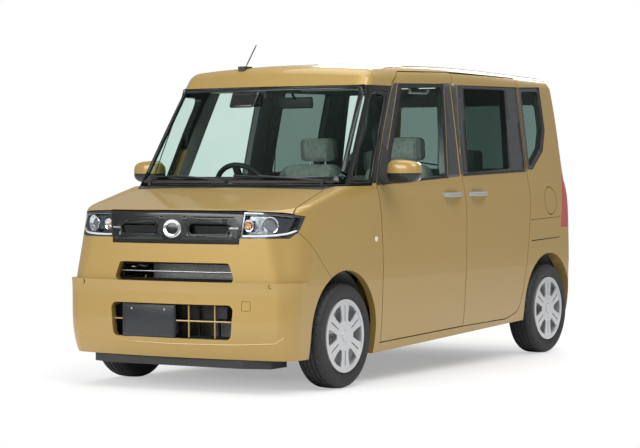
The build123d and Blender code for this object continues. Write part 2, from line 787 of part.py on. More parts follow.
with BuildPart() as floor_pan:
    add(bumper_horns.part)
    with BuildSketch(Plane.YZ.offset(-578)):
        with BuildLine():
            Polyline((-945, floor_top - floor_sheet), (905, floor_top - floor_sheet),
                     (960, rear_floor_top - floor_sheet), (1600, rear_floor_top - floor_sheet),
                     (1600, rear_floor_top), (940, rear_floor_top), (885, floor_top),
                     (-915, floor_top), (-915, 1020), (-945, 1020), close=True)
        make_face()
    extrude(amount=1156)
    # rails under the floor and beside the engine
    with Locations((-360, -520, 260), (360, -520, 260)):
        Box(80, 900, 80)
    with Locations((-370, -1240, 420), (370, -1240, 420)):
        Box(60, 620, 110)
    with Locations((0, -1566, 420)):
        Box(1000, 36, 110)
    with Locations((0, -300, 285), (0, 300, 285), (0, 820, 285)):
        Box(1156, 70, 40)
    with Locations((-500, 1300, 500), (500, 1300, 500)):
        Box(60, 600, 70)
    # wheel tubs over the rear tyres
    for side in (-1, 1):
        with BuildSketch(Plane.YZ.offset(tub_inner_x if side > 0 else -645)):
            with Locations((rear_axle_y, arch_height)):
                Circle(arch_radius + 14)
                Circle(arch_radius + 6, mode=Mode.SUBTRACT)
            with Locations((rear_axle_y, arch_height - 400)):
                Rectangle(900, 800, mode=Mode.SUBTRACT)
        extrude(amount=215)
        with BuildSketch(Plane.YZ.offset(side * tub_inner_x - 4)):
            with Locations((rear_axle_y, arch_height)):
                Circle(arch_radius + 14)
            with Locations((rear_axle_y, arch_height - 400)):
                Rectangle(900, 800, mode=Mode.SUBTRACT)
        extrude(amount=8)
        with BuildSketch(Plane.YZ.offset(tub_inner_x + 4 if side > 0 else -656)):
            with Locations((rear_axle_y, arch_height)):
                Circle(arch_radius + 6)
        extrude(amount=222, mode=Mode.SUBTRACT)
    add([front_bay, front_bay_right, block((-900, 900), (1590, 1900), (0, 1000)),
         block((-440, -420), (900, 1700), (250, 400)), block((420, 440), (900, 1700), (250, 400))],
        mode=Mode.SUBTRACT)
floor_pan.part.label = "floor_pan"
export_step(floor_pan.part, "parts/floor_pan.step")

with BuildPart() as wheel_liners:
    with BuildSketch(Plane.YZ.offset(440)):
        with Locations((front_axle_y, arch_height)):
            Circle(arch_radius + 8)
            Circle(arch_radius + 3, mode=Mode.SUBTRACT)
        with Locations((front_axle_y, arch_height - 480)):
            Rectangle(900, 800, mode=Mode.SUBTRACT)
    extrude(amount=215)
    with Locations((520, front_axle_y, 620)):
        Box(180, 176, 100, mode=Mode.SUBTRACT)
    mirror(about=Plane.YZ)
wheel_liners.part.label = "wheel_liners"
export_step(wheel_liners.part, "parts/wheel_liners.step")

with BuildPart() as under_tray:
    with BuildSketch(Plane.XY.offset(132)):
        with BuildLine():
            Polyline((-560, -1440), (-560, -1590), (-420, -1640), (420, -1640), (560, -1590),
                     (560, -1440), (380, -1400), (-380, -1400), close=True)
        make_face()
    extrude(amount=42)
    with Locations((-400, -1560, 269.7), (400, -1560, 269.7)):
        Box(40, 40, 190)
under_tray.part.label = "under_tray"
export_step(under_tray.part, "parts/under_tray.step")

hub_face_x = wheel_x - 0.5
brake_radius = 100.0



def knuckle(side):
    with BuildPart() as upright:
        with Locations((side * kingpin_x, front_axle_y, hub_height)):
            Cylinder(19, 210)
        with BuildSketch(Plane.YZ.offset(side * kingpin_x)):
            with Locations((front_axle_y, hub_height)):
                Circle(44)
        extrude(amount=side * (hub_face_x - kingpin_x))
        with BuildSketch(Plane.YZ.offset(side * 620)):
            with Locations((front_axle_y, hub_height)):
                Circle(brake_radius)
        extrude(amount=side * 14)
    return upright.part


with BuildPart() as knuckle_left:
    add(knuckle(1))
knuckle_left.part.label = "knuckle_left"
export_step(knuckle_left.part, "parts/knuckle_left.step")

with BuildPart() as knuckle_right:
    add(knuckle(-1))
knuckle_right.part.label = "knuckle_right"
export_step(knuckle_right.part, "parts/knuckle_right.step")

pin_low = hub_height - 106
pin_high = hub_height + 106
with BuildPart() as front_suspension:
    with Locations((0, -1050, 210)):
        Box(700, 160, 90)
    with Locations((-350, -1050, 310), (350, -1050, 310)):
        Box(40, 80, 109.4)
    for side in (-1, 1):
        with BuildSketch(Plane.XY.offset(pin_low - 26)):
            with BuildLine():
                Polyline((side * 290, -1120), (side * (kingpin_x + 6), -1146), (side * (kingpin_x + 6), -1104),
                         (side * 420, -1060), (side * 300, -985), (side * 290, -985), close=True)
            make_face()
        extrude(amount=26)
        with BuildSketch(Plane.XZ.offset(-front_axle_y + 12)):
            with BuildLine():
                Polyline((side * (kingpin_x + 14), pin_high), (side * (kingpin_x + 14), pin_high + 20),
                         (side * 568, 440), (side * 548, 466), (side * 546, 520), (side * 506, 520),
                         (side * 512, 440), (side * (kingpin_x - 16), pin_high), close=True)
            make_face()
        extrude(amount=-24)
        with Locations((side * 530, front_axle_y, 620)):
            Cylinder(24, 260)
        with Locations((side * 530, front_axle_y, 690)):
            Cylinder(58, 120)
        with Locations((side * 470, front_axle_y, 765)):
            Box(240, 150, 30)
        with Locations((side * 375, front_axle_y, 622.5)):
            Box(50, 150, 295)
front_suspension.part.label = "front_suspension"
export_step(front_suspension.part, "parts/front_suspension.step")

with BuildPart() as rear_axle:
    with Locations((0, 1180, 300)):
        Box(980, 80, 60)
    for side in (-1, 1):
        with BuildSketch(Plane.YZ.offset(side * 500 - 20)):
            with BuildLine():
                Polyline((1004.8, 330), (1004.8, 280), (1360, 240), (1400, 280), (1360, 320), (1140, 350), close=True)
            make_face()
        extrude(amount=40)
        with BuildSketch(Plane.YZ.offset(500 if side > 0 else -hub_face_x)):
            with Locations((rear_axle_y, hub_height)):
                Circle(34)
        extrude(amount=hub_face_x - 500)
        with BuildSketch(Plane.YZ.offset(586 if side > 0 else -640)):
            with Locations((rear_axle_y, hub_height)):
                Circle(104)
        extrude(amount=54)
        with Locations((side * 500, 1340, 385)):
            Cylinder(30, 160)
rear_axle.part.label = "rear_axle"
export_step(rear_axle.part, "parts/rear_axle.step")

with BuildPart() as engine_block:
    with Locations((0, -1270, 480)):
        Box(560, 340, 440)
    with Locations((0, -1270, 420)):
        Box(679.2, 60, 50)
engine_block.part.label = "engine_block"
export_step(engine_block.part, "parts/engine_block.step")

with BuildPart() as exhaust:
    with BuildSketch(Plane.XZ.offset(940)):
        with Locations((140, 180)):
            Circle(18)
    extrude(amount=-2370)
    with BuildSketch(Plane.XZ.offset(-1420)):
        with Locations((180, 252)):
            SlotOverall(420, 140)
    extrude(amount=-180)
    with Locations((140, 300, 228), (140, -300, 228)):
        Box(16, 20, 74)
    with Locations((180, 1500, 424)):
        Box(30, 30, 212)
exhaust.part.label = "exhaust"
export_step(exhaust.part, "parts/exhaust.step")

with BuildPart() as fuel_tank:
    with Locations((0, 560, 250)):
        Box(560, 420, 100)
fuel_tank.part.label = "fuel_tank"
export_step(fuel_tank.part, "parts/fuel_tank.step")

# tyre and wheel sections, (offset from the wheel's middle, radius)
cover_radius = 193.0
cover_back = 65.5
cover_wall = 8.0
cover_window = [(84, -12), (84, 12), (124, 31), (162, 42), (168, 0), (162, -42), (124, -31)]
tyre_section = [(-59, 184.3), (-72, 206), (-77.5, 236), (-72, 260), (-56, 273), (0, tyre_radius),
                (56, 273), (72, 260), (77.5, 236), (72, 206), (59, 184.3)]
tyre_inner = [(52, 196), (64, 214), (69, 236), (62, 256), (0, 263), (-62, 256), (-69, 236), (-64, 214), (-52, 196)]


def tyre_at(x, y):
    with BuildPart() as tyre:
        with BuildSketch(Plane.XY):
            with BuildLine():
                Polyline(*tyre_section, *tyre_inner, close=True)
            make_face()
        revolve(axis=Axis.X)
    return Pos(x, y, hub_height) * tyre.part


def turned(points, angle):
    c = cos(radians(angle))
    s = sin(radians(angle))
    return [(u * c - v * s, u * s + v * c) for u, v in points]


def wheel_at(side, y):
    with BuildPart() as wheel:
        with BuildSketch(Plane.XY):
            with BuildLine():
                Polyline((-61, 184), (61, 184), (61, 178), (40, 172), (4, 172), (4, 0), (0, 0),
                         (0, 166), (-40, 172), (-61, 178), close=True)
            make_face()
        revolve(axis=Axis.X)
        with BuildSketch(Plane.YZ.offset(54)):
            Circle(183)
            Circle(168, mode=Mode.SUBTRACT)
        extrude(amount=13)
        with BuildSketch(Plane.YZ.offset(cover_back)):
            Circle(cover_radius)
            for turn in range(0, 360, 60):
                with BuildLine():
                    Polyline(*turned(cover_window, turn), close=True)
                make_face(mode=Mode.SUBTRACT)
            with PolarLocations(118, 6, start_angle=30):
                SlotOverall(84, 7, mode=Mode.SUBTRACT)
        extrude(amount=cover_wall)
        with BuildSketch(Plane.YZ.offset(cover_back)):
            Circle(cover_radius)
            Circle(cover_radius - 20, mode=Mode.SUBTRACT)
        extrude(amount=cover_wall + 2)
        with BuildSketch(Plane.YZ.offset(4)):
            Circle(30)
        extrude(amount=cover_back + cover_wall)
        chamfer(wheel.faces().sort_by(Axis.X)[-1].edges(), 2)
    placed = wheel.part if side > 0 else mirror(wheel.part, about=Plane.YZ, mode=Mode.PRIVATE)
    return Pos(side * wheel_x, y, hub_height) * placed


with BuildPart() as tyre_front_left:
    add(tyre_at(wheel_x, front_axle_y))
tyre_front_left.part.label = "tyre_front_left"
export_step(tyre_front_left.part, "parts/tyre_front_left.step")

with BuildPart() as tyre_front_right:
    add(tyre_at(-wheel_x, front_axle_y))
tyre_front_right.part.label = "tyre_front_right"
export_step(tyre_front_right.part, "parts/tyre_front_right.step")

with BuildPart() as tyre_rear_left:
    add(tyre_at(wheel_x, rear_axle_y))
tyre_rear_left.part.label = "tyre_rear_left"
export_step(tyre_rear_left.part, "parts/tyre_rear_left.step")

with BuildPart() as tyre_rear_right:
    add(tyre_at(-wheel_x, rear_axle_y))
tyre_rear_right.part.label = "tyre_rear_right"
export_step(tyre_rear_right.part, "parts/tyre_rear_right.step")

with BuildPart() as wheel_front_left:
    add(wheel_at(1, front_axle_y))
wheel_front_left.part.label = "wheel_front_left"
export_step(wheel_front_left.part, "parts/wheel_front_left.step")

with BuildPart() as wheel_front_right:
    add(wheel_at(-1, front_axle_y))
wheel_front_right.part.label = "wheel_front_right"
export_step(wheel_front_right.part, "parts/wheel_front_right.step")

with BuildPart() as wheel_rear_left:
    add(wheel_at(1, rear_axle_y))
wheel_rear_left.part.label = "wheel_rear_left"
export_step(wheel_rear_left.part, "parts/wheel_rear_left.step")

with BuildPart() as wheel_rear_right:
    add(wheel_at(-1, rear_axle_y))
wheel_rear_right.part.label = "wheel_rear_right"
export_step(wheel_rear_right.part, "parts/wheel_rear_right.step")

# cabin
steer_x = -320.0
steer_y = -500.0
steer_z = 1015.0
steer_tilt = 26.0
steer_radius = 178.0

with BuildPart() as dashboard:
    with BuildSketch(Plane.YZ.offset(-588)):
        with BuildLine():
            Polyline((-915, 1010), (-915, 640), (-700, 640), (-640, 760), (-560, 860), (-555, 960),
                     (-620, 1010), (-760, 1022), close=True)
        make_face()
    extrude(amount=1176)
    column = Plane((steer_x, steer_y, steer_z), x_dir=(1, 0, 0),
                   z_dir=(0, cos(radians(steer_tilt)), sin(radians(steer_tilt))))
    with BuildSketch(column.offset(-120)):
        Circle(34)
    extrude(amount=87.4)
dashboard.part.label = "dashboard"
export_step(dashboard.part, "parts/dashboard.step")

with BuildPart() as steering_wheel:
    with BuildSketch(Plane((steer_x, steer_y, steer_z), x_dir=column.z_dir, z_dir=column.y_dir)):
        with Locations((0, steer_radius)):
            Circle(15)
    revolve(axis=Axis((steer_x, steer_y, steer_z), column.z_dir))
    with BuildSketch(column.offset(-14)):
        Rectangle(2 * steer_radius - 12, 34)
        with Locations((0, -steer_radius / 2)):
            Rectangle(40, steer_radius - 10)
        Circle(62)
    extrude(amount=20)
    with BuildSketch(column.offset(-32)):
        Circle(22)
    extrude(amount=24)
steering_wheel.part.label = "steering_wheel"
export_step(steering_wheel.part, "parts/steering_wheel.step")

seat_x = 300.0
with BuildPart() as front_seats:
    for side in (-1, 1):
        with BuildSketch(Plane.YZ.offset(side * seat_x - 235)):
            with BuildLine():
                Polyline((-330, 520), (150, 500), (190, 560), (190, 650), (150, 660), (-330, 650), close=True)
            make_face()
            with BuildLine():
                Polyline((150, 560), (250, 560), (330, 1180), (240, 1190), close=True)
            make_face()
        extrude(amount=470)
        with Locations((side * seat_x, 292, 1256)):
            Box(250, 90, 160)
        with Locations((side * seat_x, -60, 425)):
            Box(380, 400, 190)
front_seats.part.label = "front_seats"
export_step(front_seats.part, "parts/front_seats.step")

with BuildPart() as rear_seats:
    for side in (-1, 1):
        with BuildSketch(Plane.YZ.offset(side * 300 - 280)):
            with BuildLine():
                Polyline((560, 560), (1010, 560), (1090, 1110), (1000, 1120), (930, 680), (560, 680), close=True)
            make_face()
        extrude(amount=560)
        with Locations((side * 300, 1040, 1190)):
            Box(240, 80, 150)
        with Locations((side * 300, 760, 450)):
            Box(300, 240, 240)
rear_seats.part.label = "rear_seats"
export_step(rear_seats.part, "parts/rear_seats.step")

# small outside pieces
with BuildPart() as wipers:
    with BuildSketch(Plane.XY.offset(1078)):
        with BuildLine():
            ThreePointArc((-620, -1051), (0, -1144), (620, -1051))
            Line((620, -1051), (617, -1061))
            ThreePointArc((617, -1061), (0, -1154), (-617, -1061))
            Line((-617, -1061), (-620, -1051))
        make_face()
        Rectangle(30, 2600, mode=Mode.SUBTRACT)
    extrude(amount=14)
    with Locations((-560, -1081, 1074), (560, -1081, 1074)):
        Cylinder(11, 28)
wipers.part.label = "wipers"
export_step(wipers.part, "parts/wipers.step")

with BuildPart() as antenna:
    with Locations((-200, -660, 1716)):
        Box(44, 80, 24)
    add(cabin, mode=Mode.SUBTRACT)
    with BuildSketch(Plane((-200, -655, 1724), x_dir=(1, 0, 0), z_dir=(0, 0.65, 0.76))):
        Circle(3)
    extrude(amount=170)
antenna.part.label = "antenna"
export_step(antenna.part, "parts/antenna.step")
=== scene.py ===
import json
import math

import bmesh
import bpy
from mathutils import Matrix, Vector
from mathutils.bvhtree import BVHTree


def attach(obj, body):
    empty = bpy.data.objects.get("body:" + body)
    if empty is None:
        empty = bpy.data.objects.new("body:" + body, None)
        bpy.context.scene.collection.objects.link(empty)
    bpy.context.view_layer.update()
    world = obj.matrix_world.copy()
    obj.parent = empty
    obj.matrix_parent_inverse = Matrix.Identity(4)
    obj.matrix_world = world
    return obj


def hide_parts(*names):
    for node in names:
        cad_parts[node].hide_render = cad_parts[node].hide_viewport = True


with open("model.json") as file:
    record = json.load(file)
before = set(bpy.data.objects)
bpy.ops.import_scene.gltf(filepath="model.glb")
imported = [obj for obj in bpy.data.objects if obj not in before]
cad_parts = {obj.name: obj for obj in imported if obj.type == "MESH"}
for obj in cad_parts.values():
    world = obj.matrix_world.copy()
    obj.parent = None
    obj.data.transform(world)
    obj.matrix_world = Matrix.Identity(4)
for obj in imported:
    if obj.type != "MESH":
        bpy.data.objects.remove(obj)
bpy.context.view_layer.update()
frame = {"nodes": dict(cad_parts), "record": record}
nodes = frame["nodes"]

SIDES = ((1, "left"), (-1, "right"))
GLASS_IOR = 1.45
GLASS_ROUGHNESS = 0.02
GRAIN_DEPTH = 0.0004

# Finishes: every material is procedural


def new_material(name):
    made = bpy.data.materials.new(name)
    made.use_nodes = True
    return made, made.node_tree, made.node_tree.nodes["Principled BSDF"]


def maths(tree, operation, *terms):
    # a term is a number or another node's output
    node = tree.nodes.new("ShaderNodeMath")
    node.operation = operation
    for socket, term in zip(node.inputs, terms):
        if isinstance(term, float):
            socket.default_value = term
        else:
            tree.links.new(term, socket)
    return node.outputs[0]


def ramp(tree, source, low, high, start=0.3, end=0.7):
    band = tree.nodes.new("ShaderNodeMapRange")
    band.inputs["From Min"].default_value = start
    band.inputs["From Max"].default_value = end
    band.inputs["To Min"].default_value = low
    band.inputs["To Max"].default_value = high
    tree.links.new(source, band.inputs["Value"])
    return band.outputs["Result"]


def noise(tree, scale, detail=3.0):
    place = tree.nodes.new("ShaderNodeTexCoord")
    cloud = tree.nodes.new("ShaderNodeTexNoise")
    cloud.inputs["Scale"].default_value = scale
    cloud.inputs["Detail"].default_value = detail
    tree.links.new(place.outputs["Object"], cloud.inputs["Vector"])
    return cloud.outputs["Fac"]


def blend_colours(tree, factor, one, two):
    mix = tree.nodes.new("ShaderNodeMix")
    mix.data_type = "RGBA"
    mix.inputs[6].default_value = (*one, 1)
    mix.inputs[7].default_value = (*two, 1)
    tree.links.new(factor, mix.inputs[0])
    return mix.outputs[2]


def bump(tree, shader, height, strength, distance):
    node = tree.nodes.new("ShaderNodeBump")
    node.inputs["Strength"].default_value = strength
    node.inputs["Distance"].default_value = distance
    tree.links.new(height, node.inputs["Height"])
    tree.links.new(node.outputs["Normal"], shader.inputs["Normal"])


def finish(name, one, two, spots=30.0, metal=0.0, rough=(0.35, 0.45), grain=0.0, grain_scale=900.0,
           coat=0.0, coat_rough=0.03, spec=0.5, sheen=0.0):
    made, tree, shader = new_material(name)
    cloud = noise(tree, spots, 4.0)
    tree.links.new(blend_colours(tree, ramp(tree, cloud, 0, 1), one, two),
                   shader.inputs["Base Color"])
    tree.links.new(ramp(tree, noise(tree, spots * 2.3), *rough), shader.inputs["Roughness"])
    shader.inputs["Metallic"].default_value = metal
    shader.inputs["Coat Weight"].default_value = coat
    shader.inputs["Coat Roughness"].default_value = coat_rough
    shader.inputs["Specular IOR Level"].default_value = spec
    shader.inputs["Sheen Weight"].default_value = sheen
    if grain:
        bump(tree, shader, noise(tree, grain_scale, 2.0), grain, GRAIN_DEPTH)
    return made


def see_through(name, tint, tint_two):
    """Clear with a tint, and glossy by Fresnel on its outer side only."""
    made, tree, shader = new_material(name)
    shader.inputs["Base Color"].default_value = (0.02, 0.03, 0.03, 1)
    shader.inputs["Roughness"].default_value = GLASS_ROUGHNESS
    shader.inputs["IOR"].default_value = GLASS_IOR
    clear = tree.nodes.new("ShaderNodeBsdfTransparent")
    tree.links.new(blend_colours(tree, ramp(tree, noise(tree, 1.4), 0, 1), tint, tint_two),
                   clear.inputs["Color"])
    edge = tree.nodes.new("ShaderNodeFresnel")
    edge.inputs["IOR"].default_value = GLASS_IOR
    mix = tree.nodes.new("ShaderNodeMixShader")
    sides = tree.nodes.new("ShaderNodeNewGeometry")
    front = tree.nodes.new("ShaderNodeMapRange")
    front.inputs["To Min"].default_value = 1.0
    front.inputs["To Max"].default_value = 0.0
    tree.links.new(sides.outputs["Backfacing"], front.inputs["Value"])
    tree.links.new(maths(tree, "MULTIPLY", edge.outputs["Fac"], front.outputs["Result"]),
                   mix.inputs[0])
    tree.links.new(clear.outputs["BSDF"], mix.inputs[1])
    tree.links.new(shader.outputs["BSDF"], mix.inputs[2])
    tree.links.new(mix.outputs["Shader"], tree.nodes["Material Output"].inputs["Surface"])
    return made


def cloth(name, one, two, scale, quilt):
    """Two crossed waves as the weave, with soft spots between them; the colour follows their
    height: painted shade in the low parts, painted light on the raised ones.
    """
    made, tree, shader = new_material(name)
    shader.inputs["Sheen Weight"].default_value = 0.35
    place = tree.nodes.new("ShaderNodeTexCoord")
    weave = []
    for turn in (0.0, math.pi / 2):
        spin = tree.nodes.new("ShaderNodeMapping")
        spin.inputs["Rotation"].default_value = (0.0, 0.4, math.pi / 4 + turn)
        wave = tree.nodes.new("ShaderNodeTexWave")
        wave.inputs["Scale"].default_value = scale
        wave.inputs["Distortion"].default_value = 0.6
        tree.links.new(place.outputs["Object"], spin.inputs["Vector"])
        tree.links.new(spin.outputs["Vector"], wave.inputs["Vector"])
        weave.append(wave.outputs["Fac"])
    spots = tree.nodes.new("ShaderNodeTexVoronoi")
    spots.inputs["Scale"].default_value = scale / 4
    tree.links.new(place.outputs["Object"], spots.inputs["Vector"])
    height = maths(tree, "MULTIPLY_ADD", spots.outputs["Distance"], quilt,
                   maths(tree, "MULTIPLY", *weave))
    # the colour follows the bump's height: the hollows of the weave and the quilting dimples get
    # the darker tone as painted shade, the raised parts the lighter tone as painted light
    tree.links.new(blend_colours(tree, ramp(tree, height, 0, 1, 0.1, 0.9), one, two),
                   shader.inputs["Base Color"])
    tree.links.new(ramp(tree, noise(tree, 40), 0.8, 0.9), shader.inputs["Roughness"])
    bump(tree, shader, height, 0.5, 0.0006)
    return made


def car_paint(name):
    made = finish(name, (0.352, 0.232, 0.066), (0.376, 0.250, 0.072), spots=2600, metal=0.30,
                  rough=(0.40, 0.48), coat=0.55, coat_rough=0.05, spec=0.35)
    tree = made.node_tree
    shader = tree.nodes["Principled BSDF"]
    bump(tree, shader, noise(tree, 1500, 1.0), 0.04, 0.0002)
    return made


paint = car_paint("mustard_paint")
gloss_black = finish("gloss_black", (0.006, 0.008, 0.008), (0.010, 0.012, 0.012),
                     rough=(0.14, 0.22), coat=0.15,
                     spec=0.35)
frame_black = finish("frame_black", (0.022, 0.024, 0.027), (0.030, 0.032, 0.036),
                     rough=(0.30, 0.40),
                     grain=0.05, coat=0.2)
trim_black = finish("grained_black", (0.012, 0.012, 0.013), (0.020, 0.020, 0.021),
                    rough=(0.5, 0.62),
                    grain=0.35, grain_scale=1400)
dark_gap = finish("dark_gap", (0.002, 0.002, 0.002), (0.004, 0.004, 0.004), rough=(0.85, 0.95))
seal = finish("seal_rubber", (0.008, 0.008, 0.009), (0.014, 0.014, 0.015), rough=(0.55, 0.7),
              grain=0.2)
rubber = finish("tyre_rubber", (0.010, 0.010, 0.011), (0.020, 0.020, 0.020), spots=60,
                rough=(0.55, 0.72),
                grain=0.25, grain_scale=700)
silver = finish("wheel_silver", (0.44, 0.45, 0.46), (0.56, 0.57, 0.58), spots=2400, metal=0.55,
                rough=(0.26, 0.34), coat=0.6)
chrome = finish("bright_chrome", (0.80, 0.81, 0.82), (0.88, 0.89, 0.90), spots=60, metal=1.0,
                rough=(0.05, 0.10))
satin = finish("satin_metal", (0.30, 0.31, 0.32), (0.38, 0.39, 0.40), spots=90, metal=0.9,
               rough=(0.25, 0.34))
cast = finish("cast_metal", (0.035, 0.035, 0.036), (0.07, 0.068, 0.066), spots=80, metal=0.7,
              rough=(0.55, 0.7), grain=0.5, grain_scale=500)
alloy = finish("cast_alloy", (0.28, 0.28, 0.28), (0.40, 0.40, 0.39), spots=70, metal=0.9,
               rough=(0.4, 0.55),
               grain=0.4, grain_scale=400)
under_steel = finish("under_body", (0.016, 0.016, 0.017), (0.030, 0.029, 0.028), spots=22,
                     rough=(0.6, 0.8),
                     grain=0.4, grain_scale=300)
pipe_steel = finish("pipe_steel", (0.18, 0.17, 0.16), (0.30, 0.27, 0.24), spots=35, metal=0.9,
                    rough=(0.35, 0.55))
lamp_bowl = finish("lamp_bowl", (0.10, 0.11, 0.12), (0.20, 0.21, 0.22), spots=90, metal=0.9,
                   rough=(0.10, 0.2))
reflector = finish("reflector", (0.75, 0.76, 0.78), (0.9, 0.9, 0.92), spots=70, metal=1.0,
                   rough=(0.03, 0.09))
light_bar = finish("light_bar", (0.80, 0.81, 0.82), (0.90, 0.91, 0.92), spots=50, rough=(0.12, 0.2),
                   coat=0.6)
amber = finish("amber_lens", (0.70, 0.22, 0.02), (0.85, 0.30, 0.03), spots=120, rough=(0.1, 0.2),
               coat=0.8)
red = finish("red_lens", (0.30, 0.006, 0.010), (0.42, 0.010, 0.014), spots=120, rough=(0.10, 0.18),
             coat=1.0)
pearl = finish("pearl_lens", (0.60, 0.55, 0.42), (0.72, 0.67, 0.54), spots=200, rough=(0.12, 0.2),
               coat=0.8)
dash_dark = finish("dash_grain", (0.016, 0.017, 0.018), (0.026, 0.027, 0.028), rough=(0.55, 0.68),
                   grain=0.4, grain_scale=1100)
dash_light = finish("inner_trim", (0.20, 0.20, 0.19), (0.26, 0.26, 0.25), rough=(0.6, 0.75),
                    grain=0.3,
                    grain_scale=800)
headliner = finish("headliner", (0.42, 0.43, 0.41), (0.50, 0.51, 0.49), spots=300,
                   rough=(0.85, 0.95),
                   grain=0.4, grain_scale=1600, sheen=0.2)
carpet = finish("carpet", (0.012, 0.012, 0.013), (0.030, 0.030, 0.031), spots=500, rough=(0.9, 1.0),
                grain=0.9, grain_scale=1500, sheen=0.3)
screen_glow = finish("screen_dark", (0.004, 0.005, 0.008), (0.008, 0.010, 0.014),
                     rough=(0.05, 0.12), coat=0.8)
plate_face = finish("blank_plate", (0.008, 0.010, 0.014), (0.013, 0.015, 0.019), spots=90,
                    rough=(0.24, 0.34),
                    grain=0.06)
# seat cloths: in each, the darker tone is painted shade in the low parts of the weave, the lighter
# tone painted light on the raised parts
front_cloth = cloth("front_seat_cloth", (0.30, 0.33, 0.31), (0.60, 0.62, 0.58), scale=120,
                    quilt=0.8)
side_cloth = cloth("seat_side_cloth", (0.26, 0.28, 0.27), (0.36, 0.38, 0.36), scale=300, quilt=0.3)
clear_glass = see_through("green_glass", (0.86, 0.935, 0.91), (0.90, 0.955, 0.935))
dark_glass = see_through("privacy_glass", (0.40, 0.47, 0.45), (0.45, 0.52, 0.50))
lens = see_through("lamp_lens", (0.94, 0.95, 0.96), (0.97, 0.98, 0.98))

cad_finish = {
    "paint": paint, "black_plastic": trim_black, "lamp_silver": lamp_bowl, "clear_lens": lens,
    "red_lens": red, "glass": clear_glass, "chrome": chrome, "body_steel": under_steel,
    "cast_iron": cast, "engine_alloy": alloy, "exhaust_steel": pipe_steel, "tyre": rubber,
    "wheel_silver": silver, "dash_plastic": dash_dark, "seat_fabric": side_cloth,
}
special = {
    "grille_panel": gloss_black, "sliding_door_glass": dark_glass, "tailgate_glass": dark_glass,
    "cowl_panel": trim_black, "wheel_liners": carpet, "intake_grille": dark_gap,
}


def dress(obj, material):
    obj.data.materials.clear()
    obj.data.materials.append(material)


for part in frame["record"]["subparts"]:
    obj = nodes[part["node"]]
    dress(obj, special.get(part["node"], cad_finish[part["material_slot"]]))

# Helpers that build pieces


def mm(*values):
    return Vector([v / 1000 for v in values])


def put(name, data):
    obj = bpy.data.objects.new(name, data)
    bpy.context.scene.collection.objects.link(obj)
    return obj


def keep(name, mesh, material, body, angle=35.0):
    obj = put(name, mesh)
    dress(obj, material)
    mesh.shade_smooth()
    mesh.set_sharp_from_angle(angle=math.radians(angle))
    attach(obj, body)
    return obj


def from_bmesh(name, bm, material, body, angle=35.0):
    bmesh.ops.recalc_face_normals(bm, faces=bm.faces)
    mesh = bpy.data.meshes.new(name)
    bm.to_mesh(mesh)
    bm.free()
    return keep(name, mesh, material, body, angle)


trees = {}


def tree_of(node):
    if node not in trees:
        mesh = nodes[node].data
        trees[node] = BVHTree.FromPolygons([v.co.copy() for v in mesh.vertices],
                                           [list(p.vertices) for p in mesh.polygons])
    return trees[node]


BEAD_STEP = 25.0
AXES = {"x": (0, 1, 2), "y": (1, 0, 2), "z": (2, 0, 1)}


def onto(node, u, v, axis="x", side=1, lift=0.0):
    """The point of a CAD node's skin seen from outside along an axis, at (u, v) in mm."""
    a, b, c = AXES[axis]
    start = Vector((0, 0, 0))
    start[a] = side * 4.0
    start[b] = u / 1000
    start[c] = v / 1000
    way = Vector((0, 0, 0))
    way[a] = -side
    hit = tree_of(node).ray_cast(start, way)[0]
    if hit is None or (axis != "z" and hit[a] * side < 0.0):
        flat = start.copy()
        flat[a] = side * 0.7
        hit = tree_of(node).find_nearest(flat)[0].copy()
        hit[b] = start[b]
        hit[c] = start[c]
    hit = hit.copy()
    hit[a] += side * lift / 1000
    return hit


def rounded(points, radius):
    """The closed outline with its corners rounded."""
    steps = 6
    out = []
    count = len(points)
    for i, p in enumerate(points):
        p = Vector(p)
        before = Vector(points[i - 1]) - p
        after = Vector(points[(i + 1) % count]) - p
        r = min(radius, before.length * 0.49, after.length * 0.49)
        a = p + before.normalized() * r
        b = p + after.normalized() * r
        for k in range(steps + 1):
            t = k / steps
            out.append(tuple(a * (1 - t) ** 2 + p * 2 * t * (1 - t) + b * t ** 2))
    return out


def skin(name, loops, node, material, body, axis="x", side=1, lift=0.8, thick=1.2, cell=30.0,
         probe=None):
    """A thin cover that follows a CAD node's skin: outline and holes in mm, seen along the axis."""
    bm = bmesh.new()
    edges = []
    for loop in loops:
        ring = [bm.verts.new((p[0], p[1], 0)) for p in loop]
        edges += [bm.edges.new((ring[i], ring[(i + 1) % len(ring)])) for i in range(len(ring))]
    bmesh.ops.triangle_fill(bm, use_beauty=True, edges=edges)
    for k in (0, 1):
        values = [v.co[k] for v in bm.verts]
        place = math.floor(min(values) / cell) * cell + cell
        while place < max(values):
            co, no = Vector((0, 0, 0)), Vector((0, 0, 0))
            co[k], no[k] = place, 1
            bmesh.ops.bisect_plane(bm, geom=bm.verts[:] + bm.edges[:] + bm.faces[:], plane_co=co,
                                   plane_no=no, dist=0.01)
            place += cell
    for v in bm.verts:
        v.co = probe(v.co.x, v.co.y) if probe else onto(node, v.co.x, v.co.y, axis, side, lift)
    obj = from_bmesh(name, bm, material, body)
    out = AXES[axis][0]
    if sum(p.normal[out] * side for p in obj.data.polygons) < 0:
        obj.data.flip_normals()
    solid = obj.modifiers.new("thickness", "SOLIDIFY")
    solid.thickness = thick / 1000
    solid.offset = -1
    return obj


def tube(name, points, radius, material, body, cyclic=False):
    """A bead, wire or rod through points in metres, radius in mm."""
    line = bpy.data.curves.new(name, "CURVE")
    line.dimensions = "3D"
    line.bevel_depth = radius / 1000
    line.bevel_resolution = 3
    line.use_fill_caps = True
    run = line.splines.new("POLY")
    run.points.add(len(points) - 1)
    for q, p in zip(run.points, points):
        q.co = (*p, 1)
    run.use_cyclic_u = cyclic
    obj = put(name, line)
    mesh = bpy.data.meshes.new_from_object(obj)
    bpy.data.objects.remove(obj)
    mesh.name = name
    return keep(name, mesh, material, body)


